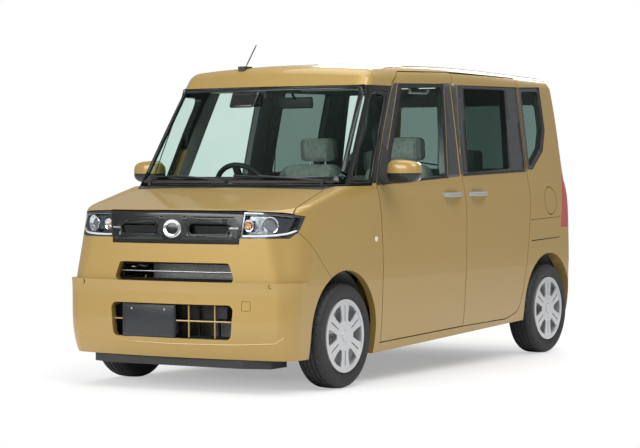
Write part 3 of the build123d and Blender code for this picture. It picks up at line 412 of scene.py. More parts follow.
def bead(name, loop, node, radius, material, body, axis="x", side=1, lift=0.3, cyclic=True):
    """A tube along a line of (u, v) points on a CAD node's skin."""
    points = []
    count = len(loop)
    for i in range(count if cyclic else count - 1):
        p, q = Vector(loop[i]), Vector(loop[(i + 1) % count])
        n = max(1, int((q - p).length / BEAD_STEP))
        points += [tuple(p.lerp(q, k / n)) for k in range(n)]
    if not cyclic:
        points.append(tuple(loop[-1]))
    return tube(name, [onto(node, u, v, axis, side, lift) for u, v in points], radius, material,
                body, cyclic)


def chunk(name, centre, size, soft, material, body, turn=(0, 0, 0)):
    """A block with softened edges."""
    bm = bmesh.new()
    bmesh.ops.create_cube(bm, size=1.0)
    for v in bm.verts:
        v.co = Vector((v.co.x * size[0], v.co.y * size[1], v.co.z * size[2])) / 1000
    bmesh.ops.bevel(bm, geom=bm.edges[:] + bm.verts[:], offset=soft / 1000, segments=3, profile=0.5,
                    affect="EDGES")
    place = Matrix.Translation(mm(*centre))
    for angle, axis in zip(reversed(turn), "ZYX"):
        place = place @ Matrix.Rotation(math.radians(angle), 4, axis)
    bmesh.ops.transform(bm, matrix=place, verts=bm.verts)
    return from_bmesh(name, bm, material, body)


def bridge(bm, one, two):
    count = len(one)
    for k in range(count):
        bm.faces.new((one[k], one[(k + 1) % count], two[(k + 1) % count], two[k]))


def lathe(name, profile, centre, material, body, axis="x", side=1, count=48):
    """Rings (radius, distance along the axis) in mm about a centre."""
    a, b, c = AXES[axis]
    bm = bmesh.new()
    rings = []
    for radius, along in profile:
        ring = []
        for k in range(count):
            t = 2 * math.pi * k / count
            p = mm(*centre)
            p[a] += side * along / 1000
            p[b] += radius * math.cos(t) / 1000
            p[c] += radius * math.sin(t) / 1000
            ring.append(bm.verts.new(p))
        rings.append(ring)
    for one, two in zip(rings, rings[1:]):
        bridge(bm, one, two)
    bm.faces.new(rings[0])
    bm.faces.new(rings[-1])
    bmesh.ops.remove_doubles(bm, verts=bm.verts, dist=1e-6)
    return from_bmesh(name, bm, material, body)


# Window outlines, as (y, z) in mm: each pane, and the clear part inside its dark edge

door_pane = [(-668, 1064), (-372, 1624), (148, 1636), (68, 1094)]
door_hole = [(-608, 1078), (-336, 1604), (128, 1616), (49, 1106)]
slide_pane = [(252, 1112), (272, 1400), (308, 1632), (1084, 1640), (1080, 1132)]
slide_hole = [(323, 1124), (388, 1615), (922, 1619), (861, 1142)]
rear_pane = [(1120, 1134), (1124, 1640), (1424, 1648), (1430, 1380), (1366, 1250), (1188, 1138)]
front_pane = [(-1000, 1076), (-752, 1076), (-603, 1362), (-506, 1528), (-478, 1580), (-655, 1592)]
front_hole = [(-960, 1096), (-772, 1096), (-634, 1362), (-548, 1512), (-536, 1556), (-660, 1562)]


def inside(points, gap):
    """The outline moved inwards by a gap, by its own edges."""
    count = len(points)
    area = sum(p[0] * q[1] - q[0] * p[1] for p, q in zip(points[-1:] + points[:-1], points))
    turn = 1 if area > 0 else -1
    out = []
    for i in range(count):
        p = Vector(points[i])
        a = (p - Vector(points[i - 1])).normalized()
        b = (Vector(points[(i + 1) % count]) - p).normalized()
        na, nb = Vector((-a.y, a.x)) * turn, Vector((-b.y, b.x)) * turn
        bis = (na + nb).normalized()
        out.append(tuple(p + bis * gap / max(bis.dot(na), 0.4)))
    return out


def frit(name, pane, hole, node, body, side, axis="x", material=frame_black):
    """The dark edge of a pane, from just inside its outline to the clear part."""
    edge = rounded(inside(pane, 2.0), 14)
    gap = rounded(hole, 22)
    return skin(name, [edge, gap], node, material, body, axis, side, lift=0.35, thick=0.3, cell=60)


for side, word in SIDES:
    door = f"front_door_{word}"
    frit(f"frit_door_{word}", door_pane, door_hole, f"door_glass_{word}", door, side, material=seal)
    frit(f"frit_slide_{word}", slide_pane, slide_hole, "sliding_door_glass", "body", side,
         material=frame_black)
    bead(f"seal_door_{word}", rounded(door_hole, 22), f"door_glass_{word}", 2.2, seal, door,
         side=side)
    bead(f"seal_slide_{word}", rounded(slide_hole, 22), "sliding_door_glass", 2.2, seal, "body",
         side=side)

# Black pillars and window edges

rear_hole = [(1150, 1158), (1152, 1614), (1400, 1622), (1404, 1386), (1344, 1268), (1184, 1164)]
for side, word in SIDES:
    frit(f"frit_front_{word}", front_pane, front_hole, "fixed_glass", "body", side,
         material=gloss_black)
    frit(f"frit_rear_{word}", rear_pane, rear_hole, "fixed_glass", "body", side)
    # the door frames beside the split, and the strip in front of the rear pane
    skin(f"door_frame_cover_{word}",
         [[(73, 1096), (213, 1103), (216, 1380), (217, 1640), (152, 1640)]],
         f"front_door_{word}", frame_black, f"front_door_{word}", "x", side, 0.6, 0.8, 40)
    skin(f"slide_frame_cover_{word}",
         [[(229, 1103), (249, 1109), (268, 1400), (303, 1638), (229, 1640)]],
         "sliding_doors", frame_black, "body", "x", side, 0.6, 0.8, 40)
    skin(f"quarter_cover_{word}", [[(1107, 1134), (1116, 1137), (1120, 1642), (1108, 1642)]],
         "body_sides", frame_black, "body", "x", side, 0.6, 0.8, 40)
    skin(f"slide_rear_cover_{word}", [[(1084, 1130), (1097, 1131), (1099, 1642), (1088, 1642)]],
         "sliding_doors", frame_black, "body", "x", side, 0.6, 0.8, 40)
    # door front frame beside the pillar, and the belt strip under the panes
    front_cover = [(-734, 1066), (-672, 1066), (-377, 1628), (-424, 1622), (-489, 1527),
                   (-586, 1361)]
    skin(f"door_front_cover_{word}", [front_cover],
         f"front_door_{word}", frame_black, f"front_door_{word}", "x", side, 0.6, 0.8, 25)
    bead(f"belt_seal_door_{word}", [(-660, 1066), (66, 1096)], f"front_door_{word}", 4.0, seal,
         f"front_door_{word}", side=side, lift=1, cyclic=False)
    bead(f"belt_seal_slide_{word}", [(254, 1108), (1078, 1128)], "sliding_doors", 4.0, seal, "body",
         side=side,
         lift=1, cyclic=False)
    for pane_name, pane, node, carrier in (
            ("door", door_pane, f"door_glass_{word}", f"front_door_{word}"),
            ("slide", slide_pane, "sliding_door_glass", "body"),
            ("rear", rear_pane, "fixed_glass", "body"), ("front", front_pane, "fixed_glass",
                                                         "body")):
        bead(f"pane_seal_{pane_name}_{word}", rounded(inside(pane, 1.5), 12), node, 4.2, seal,
             carrier,
             side=side, lift=-1.0)
    # the sliding door's rail groove and the slot over the bumper, as dark lines
    skin(f"rail_groove_{word}", [[(1086, 829), (1560, 841), (1560, 844), (1086, 832)]],
         "body_sides", dark_gap,
         "body", "x", side, 0.25, 0.3, 60)
    skin(f"bumper_slot_{word}", [[(1086, 700), (1494, 711), (1494, 716), (1086, 706)]],
         "body_sides", dark_gap,
         "body", "x", side, 0.25, 0.3, 60)

screen_pane = [(-660, 1068), (660, 1068), (598, 1604), (-598, 1604)]
screen_hole = [(-628, 1112), (628, 1112), (576, 1584), (-576, 1584)]
frit("frit_screen", screen_pane, screen_hole, "windscreen_glass", "body", -1, "y",
     material=gloss_black)
end_pane = [(-554, 1114), (554, 1114), (520, 1570), (-520, 1570)]
end_hole = [(-526, 1142), (526, 1142), (494, 1544), (-494, 1544)]
frit("frit_tailgate", end_pane, end_hole, "tailgate_glass", "tailgate", 1, "y",
     material=gloss_black)
bead("seal_screen", rounded(inside(screen_pane, -4), 10), "windscreen_glass", 3.0, seal, "body",
     "y", -1, lift=-1)
bead("seal_tailgate", rounded(inside(end_pane, -3), 14), "tailgate_glass", 3.0, seal, "tailgate",
     "y", 1, lift=1)

# Headlamps


def turned(name, profile, centre, facing, material, body, count=40, squash_z=1.0):
    """Rings (radius, distance along facing) in mm about a centre in metres."""
    way = Vector(facing).normalized()
    if abs(way.z) > 0.9:
        side_way = way.orthogonal().normalized()
    else:
        side_way = Vector((0, 0, 1)).cross(way).normalized()
    up_way = way.cross(side_way)
    bm = bmesh.new()
    rings = []
    for radius, along in profile:
        ring = []
        for k in range(count):
            t = 2 * math.pi * k / count
            p = Vector(centre) + way * along / 1000 + side_way * radius * math.cos(t) / 1000
            ring.append(bm.verts.new(p + up_way * radius * squash_z * math.sin(t) / 1000))
        rings.append(ring)
    for one, two in zip(rings, rings[1:]):
        bridge(bm, one, two)
    for end in (rings[0], rings[-1]):
        bm.faces.new(end)
    bmesh.ops.remove_doubles(bm, verts=bm.verts, dist=1e-6)
    return from_bmesh(name, bm, material, body)


bowl = [(0, -14), (8, -14), (20, -9), (34, 2), (40, 12), (44, 13), (45, 10), (40, 0), (30, -12),
        (0, -20)]
for side, word in SIDES:
    def lamp_point(x, z, depth):
        p = onto("headlamp_lenses", side * x, z, "y", -1)
        return p + Vector((-side * 0.45, 1.0, 0)).normalized() * depth / 1000
    facing = (side * 0.35, -1, 0)
    turned(f"main_bowl_{word}", bowl, lamp_point(566, 868, 24), facing, reflector, "body")
    turned(f"main_bulb_{word}", [(0, 16), (10, 15), (17, 11), (20, 4), (21, -6), (0, -7)],
           lamp_point(566, 868, 28), facing, lens, "body")
    turned(f"bulb_ring_{word}", [(21, 5), (25, 5), (26, 0), (25, -8), (21, -8)],
           lamp_point(566, 868, 28),
           facing, satin, "body")
    small = [(r * 0.66, a * 0.7) for r, a in bowl]
    turned(f"side_bowl_{word}", small, lamp_point(452, 866, 20), (side * 0.12, -1, 0), reflector,
           "body")
    turned(f"turn_bulb_{word}", [(0, 10), (6, 8), (9, 2), (9, -6), (0, -6)],
           lamp_point(452, 866, 20),
           (side * 0.12, -1, 0), amber, "body")
    bar = [(418, 812), (470, 811), (540, 813), (600, 817), (644, 824), (676, 838), (694, 858),
           (702, 884)]
    tube(f"light_bar_{word}", [lamp_point(x, z, 11) for x, z in bar], 6.0, light_bar, "body")
    line = [(424, 920), (520, 921), (600, 918), (660, 910)]
    tube(f"upper_bar_{word}", [lamp_point(x, z, 12) for x, z in line], 3.5, satin, "body")
    for k in range(7):
        x = 484 + 6 * k
        tube(f"lamp_rib_{word}_{k}", [lamp_point(x, 838, 20), lamp_point(x + 4, 905, 20)], 1.2,
             satin, "body")

# Grille, intakes, plate and bumper details


def grille_face(x, z):
    """The grille's front face, carried on over its slots."""
    low, high = onto("grille_panel", x, 783, "y", -1), onto("grille_panel", x, 925, "y", -1)
    p = low.lerp(high, (z - 783) / 142)
    return Vector((x / 1000, p.y - 0.0012, z / 1000))


for side, word in SIDES:
    outer = ((54, 790), (392, 790), (392, 912), (60, 912))
    inner = ((104, 818), (338, 820), (340, 874), (104, 876))
    slot_edge = rounded([(side * x, z) for x, z in outer], 12)
    pill = rounded([(side * x, z) for x, z in inner], 24)
    skin(f"grille_insert_{word}", [slot_edge, pill], None, gloss_black, "body", "y", -1, cell=30,
         probe=grille_face)
    tube(f"slot_rim_{word}", [grille_face(u, v) for u, v in pill], 2.6, gloss_black, "body",
         cyclic=True)
    tube(f"grille_arm_{word}", [grille_face(side * x, 851) + Vector((0, -0.001, 0)) for x in
                                (344, 360, 380, 397)], 6.0, satin, "body")

badge = onto("grille_panel", 0, 848, "y", -1, 0)
turned("bare_badge", [(0, 7), (30, 6), (50, 3.5), (54, 1), (54, -6), (0, -6)], badge, (0, -1, 0.08),
       gloss_black,
       "body", squash_z=0.82, count=64)
turned("badge_ring", [(51, 5), (54, 6.5), (58, 4), (59, -4), (51, -4)], badge, (0, -1, 0.08),
       chrome,
       "body", squash_z=0.82, count=64)

points = [onto("front_bumper", x, 520, "y", -1, -16) for x in range(-380, 381, 40)]
tube("intake_bar_0", [Vector((p.x, p.y, 0.371)) for p in points], 4.5, paint, "body")
for k, x in enumerate((-268, -112, 112, 270)):
    p = onto("front_bumper", x, 520, "y", -1, -16)
    tube(f"intake_post_{k}", [Vector((p.x, p.y, z / 1000)) for z in (286, 330, 371, 410, 452)], 4.5,
         paint, "body")
points = [onto("front_bumper", x, 700, "y", -1, -26) for x in range(-360, 361, 40)]
tube("upper_intake_bar", [Vector((p.x, p.y, 0.623)) for p in points], 3.0, satin, "body")
tube("upper_lip", [onto("front_bumper", x, z, "y", -1, -1.5) for x, z in
                   rounded([(-380, 575), (380, 575), (343, 671), (-343, 671)],
                           26)], 2.4, paint, "body", cyclic=True)
tube("lower_lip", [onto("front_bumper", x, z, "y", -1, -1.5) for x, z in
                   rounded([(-370, 281), (370, 281), (386, 457), (-386, 457)],
                           30)], 2.4, paint, "body", cyclic=True)

plate_y = onto("front_bumper", -137, 520, "y", -1, 0).y * 1000


def blank_plate(name, centre, body, facing):
    """A number plate with nothing on it, its holder, rim and two bolts."""
    chunk(f"{name}_holder", centre, (340, 10, 175), 4, trim_black, body)
    chunk(name, (centre[0], centre[1] + facing * 7, centre[2]), (330, 3, 165), 1.2, plate_face,
          body)
    rim = [(-157, -74), (157, -74), (157, 74), (-157, 74)]
    tube(f"{name}_rim", [mm(centre[0] + x, centre[1] + facing * 8.6, centre[2] + z)
                         for x, z in rounded(rim, 12)], 1.4, plate_face, body, cyclic=True)
    for s in (-1, 1):
        lathe(f"{name}_bolt_{s}", [(6, 9.5), (6, 11), (4, 12.4), (0, 12.6)],
              (centre[0] + s * 105, centre[1], centre[2] + 62), satin, body, "y", facing, 20)


blank_plate("front_plate", (-137, plate_y + 9, 365), "body", -1)

for k, (x, z) in enumerate(((600, 559), (-590, 559))):
    p = onto("front_bumper", x, z, "y", -1, 0)
    turned(f"front_sensor_{k}", [(0, 1.0), (9, 0.8), (10.5, 0), (10.5, -3), (0, -3)], p,
           (x / 1500, -1, 0), paint, "body", count=28)
    turned(f"front_sensor_ring_{k}", [(10.6, 0.5), (12.5, 0.5), (12.5, -2), (10.6, -2)], p,
           (x / 1500, -1, 0), dark_gap, "body", count=28)
tow = rounded([(436, 432), (486, 432), (486, 480), (436, 480)], 8)
bead("tow_cover_line", tow, "front_bumper", 0.9, dark_gap, "body", "y", -1, 0.1)
ridge = [(-660, 300), (-610, 268), (-400, 256), (0, 250), (400, 256), (620, 268), (668, 300)]
bead("bumper_ridge", ridge, "front_bumper", 5.0, paint, "body", "y", -1, -3.4, cyclic=False)

# Wheels and tyres: the places of the hub centres in mm
HUB_X, HUB_Z = 650, 277
AXLE_Y = {"front": -1125, "rear": 1335}


def tyre(word, centre, body):
    """A tyre with grooves, tread blocks and shoulder cuts, from rings across its section."""
    section = [(-59, 184.3), (-66, 192), (-71, 203), (-74.5, 214), (-74, 216), (-76.5, 226),
               (-77.4, 238),
               (-76, 246), (-76.6, 248), (-74, 256), (-70, 263), (-63, 269.5), (-54, 273.4)]
    tread = []
    for x in range(-48, 49, 2):
        groove = any(abs(abs(x) - g) < 3.4 for g in (14, 38))
        crown = 277 - 2.6 * (x / 54) ** 2
        tread.append((x, crown - (6 if groove else 0)))
    profile = section + tread + [(-x, r) for x, r in reversed(section)]
    bm = bmesh.new()
    count = 192
    rings = []
    for x, radius in profile + [(50, 186), (-50, 186)]:
        ring = []
        for k in range(count):
            t = 2 * math.pi * k / count
            shoulder = 42 < abs(x) < 68 and radius > 255
            block = 16 < abs(x) < 36 and radius > 270
            r = radius
            if shoulder and (k + (2 if x > 0 else 0)) % 6 == 0:
                r -= 4.0
            if block and (k + int(abs(x) / 5)) % 8 == 0:
                r -= 3.0
            if 249 < radius < 262 and k % 4 == 0:
                r -= 1.2
            ring.append(bm.verts.new(Vector((centre[0] + x, centre[1] + r * math.cos(t),
                                             centre[2] + r * math.sin(t))) / 1000))
        rings.append(ring)
    for one, two in zip(rings, rings[1:] + rings[:1]):
        bridge(bm, one, two)
    obj = from_bmesh(f"tyre_tread_{word}", bm, rubber, body, angle=28)
    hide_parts(f"tyre_{word}")


for end, y in AXLE_Y.items():
    for side, word in SIDES:
        body = f"wheel_{end}_{word}"
        tyre(f"{end}_{word}", (side * HUB_X, y, HUB_Z), body)
        for k in range(6):
            t = math.pi / 2 + 2 * math.pi * (k + 0.5) / 6
            spot = (side * HUB_X, y + 50 * math.cos(t), HUB_Z + 50 * math.sin(t))
            lathe(f"nut_{end}_{word}_{k}", [(8, 60), (8, 68), (6, 71), (0, 72)], spot, satin, body,
                  "x", side, 6)
        lathe(f"cap_ring_{end}_{word}", [(24, 77.2), (26, 77.5), (28, 77.2), (28, 75), (24, 75)],
              (side * HUB_X, y, HUB_Z), chrome, body, "x", side, 48)

# Door mirrors, handles and side lamps


def two_tone(name, level):
    """Paint above a level line, black plastic below it."""
    made = car_paint(name)
    tree = made.node_tree
    shader = tree.nodes["Principled BSDF"]
    place = tree.nodes.new("ShaderNodeTexCoord")
    part = tree.nodes.new("ShaderNodeSeparateXYZ")
    tree.links.new(place.outputs["Object"], part.inputs[0])
    above = maths(tree, "GREATER_THAN", part.outputs["Z"], level)
    mix = tree.nodes.new("ShaderNodeMix")
    mix.data_type = "RGBA"
    mix.inputs[6].default_value = (0.012, 0.013, 0.014, 1)
    tree.links.new(shader.inputs["Base Color"].links[0].from_socket, mix.inputs[7])
    tree.links.new(above, mix.inputs[0])
    tree.links.new(mix.outputs[2], shader.inputs["Base Color"])
    return made


mirror_paint = two_tone("mirror_two_tone", 1.128)


def mirror_shell(word, side, body):
    """A softly squared shell, fuller at the outer end."""
    bm = bmesh.new()
    bmesh.ops.create_cube(bm, size=2.0)
    bmesh.ops.subdivide_edges(bm, edges=bm.edges[:], cuts=15, use_grid_fill=True)
    for v in bm.verts:
        x, y, z = v.co
        reach = (abs(x) ** 3.2 + abs(y) ** 3.2 + abs(z) ** 3.2) ** (1 / 3.2)
        k = max(abs(x), abs(y), abs(z)) / reach
        x, y, z = x * k, y * k, z * k
        y = min(y, 0.86)
        tall = 0.92 - 0.10 * x
        v.co = Vector((side * (842 + 97 * x), -700 + 50 * y + 8 * abs(x),
                       1136 + 69 * z * tall)) / 1000
    return from_bmesh(f"mirror_shell_{word}", bm, mirror_paint, body, angle=50)


for side, word in SIDES:
    door = f"front_door_{word}"
    shell = mirror_shell(word, side, door)
    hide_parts(f"door_mirror_{word}")
    glass = rounded([(842 - 84, 1136 - 52), (842 + 84, 1136 - 52), (842 + 84, 1136 + 52),
                     (842 - 84, 1136 + 52)], 34)
    if side < 0:
        glass = [(-x, z) for x, z in glass]
    skin(f"mirror_glass_{word}", [glass], None, reflector, door, "y", 1, cell=60,
         probe=lambda x, z: mm(x, -655.6, z))
    sail = [(-728, 1066), (-618, 1068), (-588, 1130), (-572, 1250), (-610, 1296)]
    skin(f"mirror_sail_{word}", [rounded(sail, 8)],
         f"door_glass_{word}", trim_black, door, "x", side, 5.0, 6.0, 30)
    chunk(f"mirror_foot_{word}", (side * 744, -692, 1084), (70, 60, 30), 10, trim_black, door)
    for where, y, carrier in (("front", 75, door), ("slide", 390, "body")):
        bow = [(720 + 40.4 * (1 - (d / 118) ** 2), y + d) for d in range(-96, 97, 16)]
        tube(f"handle_line_{where}_{word}", [mm(side * out, along, 998.5) for out, along in bow],
             0.8, dark_gap, carrier)
    at = onto("front_fenders", -806, 776, "x", side, 0)
    turned(f"side_repeater_{word}", [(0, 5), (12, 4.6), (17, 3), (18, 0), (18, -3), (0, -3)], at,
           (side, 0, 0),
           pearl, "body", squash_z=0.8)
    turned(f"repeater_rim_{word}", [(18.2, 1.5), (20.5, 1.2), (21, -2), (18.2, -2)], at,
           (side, 0, 0), paint,
           "body", squash_z=0.8)

# Cabin

windows = [front_hole, door_hole, slide_hole, rear_hole]


def in_outline(y, z, loop):
    hit = False
    for i in range(len(loop)):
        (a, b), (c, d) = loop[i - 1], loop[i]
        if (b > z) != (d > z) and y < (c - a) * (z - b) / (d - b) + a:
            hit = not hit
    return hit


lining = {"body_sides": dash_light, "front_door_left": dash_light, "front_door_right": dash_light,
          "sliding_doors": dash_light, "roof_panel": headliner, "tailgate": dash_light}
for name, material in lining.items():
    obj = nodes[name]
    obj.data.materials.append(material)
    for p in obj.data.polygons:
        c, n = p.center, p.normal
        inward = abs(c.x) > 0.42 and n.x * math.copysign(1, c.x) < -0.35
        if name == "roof_panel":
            inward = n.z < -0.3 and c.z > 1.55
        if name == "tailgate":
            inward = n.y < -0.35
        if inward and c.z > 0.3:
            p.material_index = 1
    if name in ("body_sides", "front_door_left", "front_door_right", "sliding_doors"):
        obj.data.materials.append(frame_black)
        for p in obj.data.polygons:
            y, z = p.center.y * 1000, p.center.z * 1000
            if abs(p.normal.x) < 0.8 and any(in_outline(y, z, inside(w, -8)) for w in windows):
                p.material_index = 2
# the front pillars are gloss black
body_skin = nodes["body_sides"].data
body_skin.materials.append(gloss_black)
for p in body_skin.polygons:
    if p.center.y < -0.44 and p.center.z > 1.0605:
        p.material_index = 3
floor_skin = nodes["floor_pan"].data
floor_skin.materials.append(carpet)
for p in floor_skin.polygons:
    facing_cabin = p.normal.z > 0.3 or abs(p.normal.y) > 0.3
    if facing_cabin and p.center.z > 0.325 and abs(p.center.x) < 0.59:
        p.material_index = 1


def pad(name, centre, size, lean, puff, bolster=0.0, grooves=()):
    """A seat cushion: crowned, softly cornered, sides pulled in, with sewn channels on its face."""
    bm = bmesh.new()
    bmesh.ops.create_cube(bm, size=2.0)
    bmesh.ops.subdivide_edges(bm, edges=bm.edges[:], cuts=19, use_grid_fill=True)
    turn = Matrix.Translation(mm(*centre)) @ Matrix.Rotation(math.radians(lean), 4, "X")
    for v in bm.verts:
        x, y, z = v.co
        power = 5.0
        reach = (abs(x) ** power + abs(y) ** power + abs(z) ** power) ** (1 / power)
        k = max(abs(x), abs(y), abs(z)) / reach
        px, py, pz = x * k, y * k, z * k
        crown = max(0.0, (1 - x * x)) * max(0.0, (1 - y * y))
        sink = 0.0
        for axis, where in grooves:
            d = (x if axis == "x" else y) - where
            sink += math.exp(-(d / 0.035) ** 2) * 0.10
        side_roll = bolster * max(0.0, abs(x) - 0.6) * 2
        lift = puff * crown - sink * (1 if abs(x) < 0.75 else 0.3) + side_roll
        pz += (lift - puff * 0.5) * (1 if z > 0 else 0) * max(0.0, z)
        px *= 1 - 0.035 * (1 - y * y)
        py *= 1 - 0.030 * (1 - x * x)
        v.co = Vector((px * size[0], py * size[1], pz * size[2])) / 2000
    bmesh.ops.transform(bm, matrix=turn, verts=bm.verts)
    obj = from_bmesh(name, bm, front_cloth, "body", angle=80)
    obj.data.materials.append(side_cloth)
    back = turn.inverted()
    for p in obj.data.polygons:
        at = back @ p.center
        if abs(at.x) > size[0] / 2000 * 0.70 or at.z < 0:
            p.material_index = 1
    smooth = obj.modifiers.new("smooth", "SUBSURF")
    smooth.levels = smooth.render_levels = 1
    for s in (-1, 1):
        run = [turn @ (Vector((s * 0.345 * size[0], t * size[1],
                               size[2] * (0.5 + puff * 0.16))) / 1000)
               for t in (-0.40, -0.2, 0, 0.2, 0.40)]
        tube(f"{name}_piping_{'a' if s < 0 else 'b'}", run, 2.2, side_cloth, "body")
    return obj


front_cushions, rear_cushions = [], []
for side, word in SIDES:
    x = side * 300
    cushion = pad(f"front_cushion_{word}", (x, -75, 586), (466, 500, 140), 1.5, 0.28, bolster=0.5,
                  grooves=(("y", 0.3), ("y", -0.3)))
    front_cushions.append(cushion)
    pad(f"front_back_{word}", (x, 246, 880), (452, 610, 104), 97.8, 0.35, bolster=0.7,
        grooves=(("y", 0.35), ("y", -0.1)))
    pad(f"front_headrest_{word}", (x, 292, 1262), (244, 142, 84), 96, 0.4)
    chunk(f"front_base_{word}", (x, -60, 424), (376, 396, 186), 16, trim_black, "body")
    for s in (-1, 1):
        tube(f"front_post_{word}_{s + 1}", [mm(x + s * 52, 284, 1150), mm(x + s * 52, 290, 1200)],
             5, satin, "body")
        tube(f"front_rail_{word}_{s + 1}", [mm(x + s * 150, -250, 338), mm(x + s * 150, 130, 338)],
             7, satin, "body")
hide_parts("front_seats")
for side, word in SIDES:
    x = side * 300
    rear_cushions.append(pad(f"rear_cushion_{word}", (x, 780, 620), (548, 440, 118), 0, 0.25,
                             grooves=(("y", 0.2),)))
    pad(f"rear_back_{word}", (x, 1008, 890), (548, 440, 84), 98, 0.3, grooves=(("y", 0.3),))
    pad(f"rear_headrest_{word}", (x, 1040, 1190), (236, 140, 76), 96, 0.4)
    chunk(f"rear_base_{word}", (x, 760, 450), (296, 236, 226), 14, trim_black, "body")
    for s in (-1, 1):
        tube(f"rear_post_{word}_{s + 1}", [mm(x + s * 50, 1036, 1092), mm(x + s * 50, 1039, 1130)],
             5, satin, "body")
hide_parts("rear_seats")

# Dashboard, inner mirror and sensor box
STEERING_TILT = math.radians(26)
INNER_MIRROR = (155, -690, 1517)
SENSOR = [(-190, 1492), (-30, 1492), (-20, 1582), (-205, 1582)]
chunk("dash_hood", (-320, -655, 1034), (330, 150, 34), 14, dash_dark, "body")
chunk("dash_meter", (-320, -612, 1022), (270, 20, 66), 8, screen_glow, "body", (20, 0, 0))
chunk("dash_screen", (0, -550, 925), (232, 18, 132), 7, screen_glow, "body")
chunk("dash_shelf", (290, -572, 900), (480, 30, 26), 10, dash_light, "body")
for k, x in enumerate((-520, -150, 150, 520)):
    chunk(f"dash_vent_{k}", (x, -556, 930), (88, 14, 60), 6, trim_black, "body")
    for j in range(4):
        chunk(f"vent_blade_{k}_{j}", (x, -549, 912 + 12 * j), (76, 5, 2.4), 0.8, dash_light, "body")
chunk("shift_box", (-110, -560, 815), (110, 50, 70), 12, dash_dark, "body")
tube("shift_rod", [mm(-110, -545, 820), mm(-110, -510, 850), mm(-110, -486, 884)], 5, satin, "body")
turned("shift_knob", [(0, 26), (14, 24), (21, 12), (21, -4), (14, -20), (0, -22)],
       mm(-110, -478, 900),
       (0, 0.6, 0.8), trim_black, "body")
turned("wheel_pad", [(0, 16), (40, 14), (58, 6), (60, -2), (0, -2)], mm(-320, -499, 1017),
       (0, math.cos(STEERING_TILT), math.sin(STEERING_TILT)), dash_dark, "steering_wheel")
chunk("inner_mirror", INNER_MIRROR, (232, 22, 62), 10, trim_black, "body", (8, 0, -6))
chunk("inner_mirror_glass", (INNER_MIRROR[0], INNER_MIRROR[1] + 11, INNER_MIRROR[2]), (218, 3, 52),
      1.2,
      reflector, "body", (8, 0, -6))
tube("inner_mirror_stem", [mm(INNER_MIRROR[0], INNER_MIRROR[1] - 8, INNER_MIRROR[2] + 20),
                           mm(INNER_MIRROR[0], INNER_MIRROR[1] - 40,
                              INNER_MIRROR[2] + 50)], 7, trim_black, "body")
skin("sensor_frit", [rounded(SENSOR, 16)], "windscreen_glass", gloss_black, "body", "y", -1,
     0.35, 0.3, 40)
chunk("sensor_box", ((SENSOR[0][0] + SENSOR[1][0]) / 2, -745, 1535), (150, 40, 70), 10, trim_black,
      "body",
      (-18, 0, 0))
for side, word in SIDES:
    chunk(f"sun_visor_{word}", (side * 300, -640, 1604), (360, 150, 12), 5, headliner, "body",
          (-12, 0, 0))
    door = f"front_door_{word}"
    chunk(f"arm_rest_{word}", (side * 640, -230, 720), (44, 380, 46), 14, dash_dark, door)
    chunk(f"door_pocket_{word}", (side * 646, -250, 420), (30, 520, 150), 12, dash_light, door)
    chunk(f"door_pull_{word}", (side * 646, -420, 860), (26, 110, 34), 9, satin, door)
    tube(f"belt_{word}",
         [mm(side * 560, 215, 1330), mm(side * 562, 200, 1000), mm(side * 566, 170, 640)], 3,
         trim_black, "body")
    tube(f"grab_handle_{word}",
         [mm(side * 560, -120, 1600), mm(side * 548, -110, 1580), mm(side * 548, 90, 1580),
                                 mm(side * 560, 100, 1600)], 8, headliner, "body")

# Back, roof and small outside pieces

back_y = onto("tailgate", 0, 850, "y", 1, 0).y * 1000
blank_plate("rear_plate", (0, back_y - 5, 850), "tailgate", 1)
bar = [onto("tailgate", x, 965, "y", 1, -5) for x in range(-300, 301, 60)]
tube("rear_garnish", bar, 13, chrome, "tailgate")
chunk("tailgate_pull", (0, back_y - 4, 938), (260, 20, 22), 6, trim_black, "tailgate")
for side, word in SIDES:
    for k, z in enumerate((830, 905, 985, 1060)):
        tube(f"tail_line_{word}_{k}",
             [onto("tail_lamps", side * x, z, "y", 1, 0.3) for x in (600, 625, 650, 668)],
             1.4, reflector if k % 2 else pearl, "body")
    chunk(f"rear_reflector_{word}",
          (side * 560, onto("rear_bumper", side * 560, 470, "y", 1, 1).y * 1000, 470),
          (110, 6, 34), 2.5, red, "body")
p = onto("tailgate", 0, 1120, "y", 1, -8)
turned("rear_wiper_hub", [(0, 16), (14, 14), (18, 8), (18, -6), (0, -6)], p, (0, 1, 0.1),
       trim_black, "tailgate")
arm = [onto("tailgate_glass", x, z, "y", 1, lift) for x, z, lift in
       ((0, 1128, 5), (-80, 1142, 8), (-200, 1160, 8), (-330, 1178, 6))]
tube("rear_wiper_arm", arm, 5, trim_black, "tailgate")
tube("rear_wiper_blade", [onto("tailgate_glass", x, z, "y", 1, 5) for x, z in
                          ((-60, 1138), (-180, 1156), (-300, 1174),
                           (-400, 1188))], 4, seal, "tailgate")
chunk("stop_lamp", (0, onto("tailgate", 0, 1620, "y", 1, 0).y * 1000 + 1, 1618), (240, 12, 20), 4,
      red, "tailgate")
for side, word in SIDES:
    ditch = [onto("roof_panel", side * 560, y, "z", 1, 0.2) for y in range(-420, 1621, 60)]
    tube(f"roof_moulding_{word}", ditch, 3.0, frame_black, "body")
    sweep = [onto("windscreen_glass", x, z, "y", -1, 9) for x, z in
             ([(560, 1085), (400, 1098), (180, 1112), (20, 1118)] if side > 0 else
              [(-40, 1085), (-180, 1100), (-380, 1114), (-600, 1112)])]
    tube(f"wiper_blade_{word}", sweep, 5, seal, "body")
    tube(f"wiper_arm_{word}", [p + Vector((0, -0.008, 0.004)) for p in sweep[:3]], 6, trim_black,
         "body")
ANTENNA_FOOT = Vector((-0.2, -0.655, 1.724))
ANTENNA_WAY = Vector((0, 0.65, 0.76))
ANTENNA_LENGTH = 0.17
